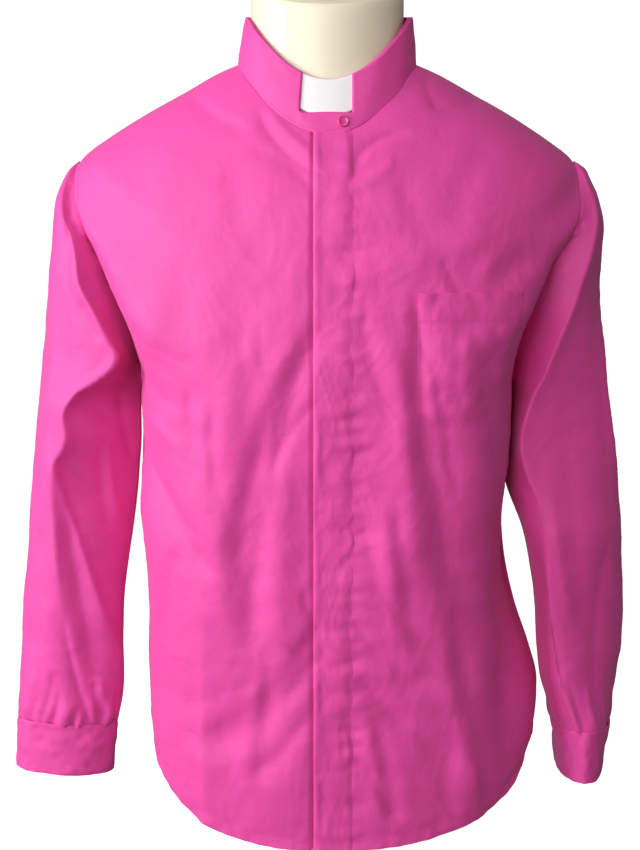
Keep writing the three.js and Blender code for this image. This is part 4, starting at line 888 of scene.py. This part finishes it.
def make_cuff(which, seed):
    """A cuff: a firm band whose end laps over its beginning, and its button."""
    name, cuff = "shirt_cuff_" + which, CUFFS[which]
    turns, rows, columns = 1.09, 26, 149
    angle = np.linspace(0, 2 * math.pi * turns, columns + 1)[None, :]
    h = np.linspace(0, 1, rows + 1)[:, None]
    lap = angle / (2 * math.pi)
    grow = 0.5 - 1.6 * (1 - smooth((lap - 0.04) / 0.1))
    edge = np.minimum(h, 1 - h) * CUFF_HEIGHT
    grow = grow - 0.45 * bell(edge, 0.9) - 0.15 * bell(edge - 5, 0.9)
    q = math.pi / 2 - 0.55 + angle  # the lap lies at the back, where the photo doesn't reach
    x = lerp(cuff["x"], cuff["x_low"], h) + (lerp(cuff["a"], cuff["a_low"], h) + grow) * np.cos(q)
    y = cuff["y"] + (cuff["b"] + grow) * np.sin(q)
    grid = np.stack([x, y, cuff_edge(cuff, CUFF_TOP - CUFF_HEIGHT * h, x)], -1)
    soft = 0.5 * crumple(angle * 40, h * 50, 38, seed) + 0.2 * crumple(angle * 40, h * 50, 14, seed + 1)
    grid = grid + normals(grid, -1) * soft[..., None]
    cloth_piece(name, grid, -1, "cuff_" + which, (0.27, 0.06), held="folded", thickness=1.6)
    up = normals(grid, -1)
    stitches(name + "_stitches", [beside(grid, up, 5, edge) for edge in ("top", "bottom", "last")])
    row = rows // 2
    column = int(columns - 13 / (row_lengths(grid)[row, -1] / columns))
    make_button(name + "_button", grid[row, column] + up[row, column] * 0.6, up[row, column], 5.2)


def collar_point(angle, h, off):
    """Points of the band at angles from the centre front and shares of its height."""
    c = COLLAR
    angle, h, off = np.broadcast_arrays(angle, h, off)
    s, k = np.sin(angle), np.cos(angle)
    half, front, back = (lerp(*c[n], h) + off for n in ("half", "front_depth", "back_depth"))
    side, middle = lerp(*c["side"], h), np.where(k > 0, lerp(*c["front"], h), lerp(*c["back"], h))
    x, y = half * s + c["shift"] * h, np.where(k > 0, -front * k, -back * k)
    return np.stack([x, y, lerp(middle, side, s * s)], -1)


def collar_angle(x):
    return math.asin(x / COLLAR["half"][0])


def make_collar():
    """The notched outer band, the inner band, the white tab and the stitches."""
    front, side = COLLAR["front"], COLLAR["side"]
    rise = front[1] - front[0]
    tall = 50  # the band's height, for lengths from shares of it
    low = (TAB["low"] - front[0] - 2.5) / rise
    cut = [collar_angle(TAB["left"] - 0.6), collar_angle(TAB["right"] - 0.8)]
    inside = np.linspace(cut[0], cut[1], 21)
    angles = np.hstack([inside, np.linspace(cut[1], cut[0] + 2 * math.pi, 200)[1:-1]])
    lower, upper = np.linspace(-0.02, low, 16), np.linspace(low, 1, 22)[1:]
    level = np.hstack([lower, upper])[:, None]
    droop = 0.083 * (side[0] - front[0]) / rise
    aside = np.clip(np.abs(np.sin(angles)) / math.sin(cut[1]), 0, 1) ** 2
    level = level - droop * aside * np.interp(level, [0, low, 1], [0, 1, 0])
    edge = np.minimum(level + 0.02, 1 - level) * tall
    swell = 0.35 * np.sin(math.pi * np.clip(level, 0, 1)) - 0.5 * bell((1 - level) * tall)
    swell = swell - 0.12 * bell(edge - 4.5, 0.9) + 0.22 * crumple(angles * 80, level * tall, 34, 8)
    outer = collar_point(angles, level, COLLAR_OUT + swell)
    band = {"held": "folded", "closed": True, "area": 0.0235}
    obj = cloth_piece("collar_outer_band", outer, 1, "collar_outer", (0.49, 0.07), thickness=1.1, **band)
    notch(obj, outer.shape, len(lower), len(inside))
    level = np.linspace(0.02, 0.99, 30)[:, None]
    inner = collar_point(angles, level, COLLAR_IN - 0.4 * bell(np.minimum(level, 1 - level) * tall))
    cloth_piece("collar_inner_band", inner, 1, "collar_inner", (0.47, 0.07), thickness=1, **band)
    ends = (collar_angle(TAB["left"] - TAB["tuck"]), collar_angle(TAB["right"] + TAB["tuck"]))
    level = np.linspace(low - 0.07, 0.985, 24)[:, None]
    edge = np.minimum(level - level.min(), level.max() - level) * tall
    tab = collar_point(np.linspace(*ends, 60), level, COLLAR_OUT - 1.5 - 0.3 * bell(edge, 0.6))
    white = make_mesh("white_tab", tab[:, ::-1], WHITE_PLASTIC)
    thicken(white, TAB["thick"])
    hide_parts("collar_tab")
    up = normals(outer, 1, closed=True)
    beside_notch = slice(len(inside) + 1, None)
    stitches("collar_stitches", [(outer[-4][beside_notch], up[-4][beside_notch]), (outer[3], up[3])])
    stud = collar_point(collar_angle(14.5), 0.18, COLLAR_OUT + 0.4)
    make_button("collar_stud", stud, np.array([0.16, -1, 0.22]), 5.6, "collar_button")


def notch(obj, shape, lower, inside):
    """Takes out the outer band's faces where the tab shows."""
    rows, columns = shape[:2]
    ordered = columns - 1 - np.arange(columns)
    quad = np.arange((rows - 1) * columns).reshape(rows - 1, columns)
    shown = (ordered < inside) & (np.roll(ordered, -1) < inside)
    gone = sorted(quad[lower - 1 :, shown].ravel().tolist())
    edit = bmesh.new()
    edit.from_mesh(obj.data)
    edit.faces.ensure_lookup_table()
    bmesh.ops.delete(edit, geom=[edit.faces[i] for i in gone], context="FACES")
    edit.to_mesh(obj.data)
    edit.free()


def lathe(name, profile, material, segments=64):
    """A turned piece from a profile of radius and height."""
    angles = np.linspace(0, 2 * math.pi, segments, endpoint=False)
    r, z = np.array(profile, float).T[..., None]
    grid = np.stack([r * np.cos(angles), r * np.sin(angles), z + 0 * angles], -1)
    return make_mesh(name, grid, material, closed=True)


def make_button(name, at, facing, radius, node_name=None):
    """A shirt button with a raised rim, sewn on with crossed thread."""
    rim = [(0.01, 0), (radius * 0.8, 0), (radius, 0.7), (radius, 1.5), (radius * 0.93, 2.1)]
    rim += [(radius * 0.82, 2.2), (radius * 0.7, 1.9), (radius * 0.62, 1.55), (0.01, 1.5)]
    obj = lathe(name, rim, DYED_BUTTON, 48)
    axis = Vector(facing).normalized()
    turn = Vector((0, 0, 1)).rotation_difference(axis)
    obj.data.transform(turn.to_matrix().to_4x4())
    obj.data.transform(Matrix.Translation(Vector(at) * MM))
    if node_name:
        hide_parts(node_name)
    axis = np.array(axis)
    right, forward = (np.array(turn @ Vector(v)) for v in ((1, 0, 0), (0, 1, 0)))
    lines = []
    for side in (1, -1):
        across = (right + forward * side) * 1.6
        middle = at + axis * 1.7
        lines.append((np.array([middle + across, middle - across]), np.array([axis, axis])))
    thread = stitches(name + "_thread", lines)


def make_form():
    """The dress form, with a rounded rim on its neck and a flat foot."""
    place = np.linspace(0, len(FORM_RINGS["fy"]) - 1, 150)
    angle = np.linspace(0, 2 * math.pi, 120, endpoint=False)[None, :]
    s, k = np.sin(angle), np.cos(angle)
    rings_at = (FORM_RINGS.at(column, place)[:, None] for column in FORM_RINGS)
    fy, fz, sx, sy, sz, by, bz, power = rings_at
    power = np.clip(power, 0.92, 1)
    x = sx * np.sign(s) * np.abs(s) ** power
    y = lerp(np.where(k > 0, fy, by), sy, 1 - np.abs(k) ** power)
    body = np.stack([x, y, lerp(np.where(k > 0, fz, bz), sz, s * s)], -1)

    def drawn_in(ring, share, lift=0):
        middle = ring.mean(axis=0)
        return middle + (ring - middle) * share + (0, 0, lift)

    rim = [(0.02, 2.2), (0.5, 2.2), (0.9, 1.8), (0.95, 1.2), (0.98, 0.6)]
    top = [drawn_in(body[0], share, lift) for share, lift in rim]
    foot = [drawn_in(body[-1], share) for share in (0.98, 0.5, 0.02)]
    grid = np.vstack([top, body, foot])
    form = make_mesh("form_shell", grid, CREAM_SHELL, closed=True)
    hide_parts("dress_form")


def make_stand():
    """The plate with its socket, and the pole."""
    plate = [(0.01, 0.2), (146, 0.2), (149, 1.2), (150, 3), (150, 6), (148, 8.4), (144, 9.2), (27, 9.6)]
    plate += [(25, 10.6), (24, 13), (21.5, 32), (20, 34.6), (17, 35), (0.01, 35)]
    base = lathe("stand_plate", plate, BRUSHED_STEEL, 128)
    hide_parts("stand_base")
    pole = [(0.01, 35.3), (12.5, 35.3), (12.5, 232), (13.5, 234), (16, 236), (32, 238.5)]
    pole += [(34, 240), (34, 243.4), (0.01, 243.6)]
    tube = lathe("stand_tube", pole, BRUSHED_STEEL)
    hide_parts("stand_pole")


def make_stage():
    """A pale floor that sweeps up behind, soft lights, and the camera at the photo's angle."""
    scene = bpy.context.scene
    sweep = np.linspace(0.1, math.pi / 2, 16)
    depth = np.hstack([np.linspace(-4000, 2600, 12), 2600 + 1500 * np.sin(sweep), 4100])
    height = np.hstack([np.zeros(12), 1500 * (1 - np.cos(sweep)), 5000])
    points = [(x, y, z) for y, z in zip(depth, height) for x in (-6000, 6000)]
    faces = [(i, i + 1, i + 3, i + 2) for i in range(0, len(points) - 2, 2)]
    material, tree, bsdf = new_material("floor")
    looks = {"Base Color": (0.9, 0.9, 0.9, 1), "Roughness": 0.9}
    looks |= {"Emission Color": (1, 1, 1, 1), "Emission Strength": 0.85}
    fill(tree, bsdf, looks)
    floor = add_object("floor", points, faces, material)
    floor.visible_diffuse = floor.visible_glossy = False
    for name, place, target_height, size, power, colour in LIGHTS:
        data = bpy.data.lights.new(name, "AREA")
        data.shape, data.energy, data.color = "RECTANGLE", power, colour
        data.size, data.size_y = size
        light = in_scene(name, data)
        light.location = place
        towards = Vector((0, 0, target_height)) - Vector(place)
        light.rotation_euler = towards.to_track_quat("-Z", "Y").to_euler()
    world = bpy.data.worlds.new("studio")
    world.use_nodes = True
    background = world.node_tree.nodes["Background"]
    fill(world.node_tree, background, {"Color": (1, 0.9, 0.82, 1), "Strength": 0.15})
    scene.world = world
    scene.view_settings.view_transform = "Standard"
    camera = bpy.data.cameras.new("camera")
    camera.sensor_width, camera.lens = 36, 72
    eye = in_scene("camera", camera)
    eye.location = (-0.007, -1.7, 0.795)
    eye.rotation_euler = (math.radians(81), 0, 0)
    scene.camera = eye


make_stage()
left_front, left_up = make_fronts()
make_placket(left_front, left_up)
make_pocket(left_front, left_up)
make_back()
make_sleeve("right", -1, RIGHT_SLEEVE, RIGHT_SLEEVE_FOLDS)
make_sleeve("left", 1, LEFT_SLEEVE, LEFT_SLEEVE_FOLDS)
make_cuff("right", 101)
make_cuff("left", 131)
make_collar()
make_form()
make_stand()
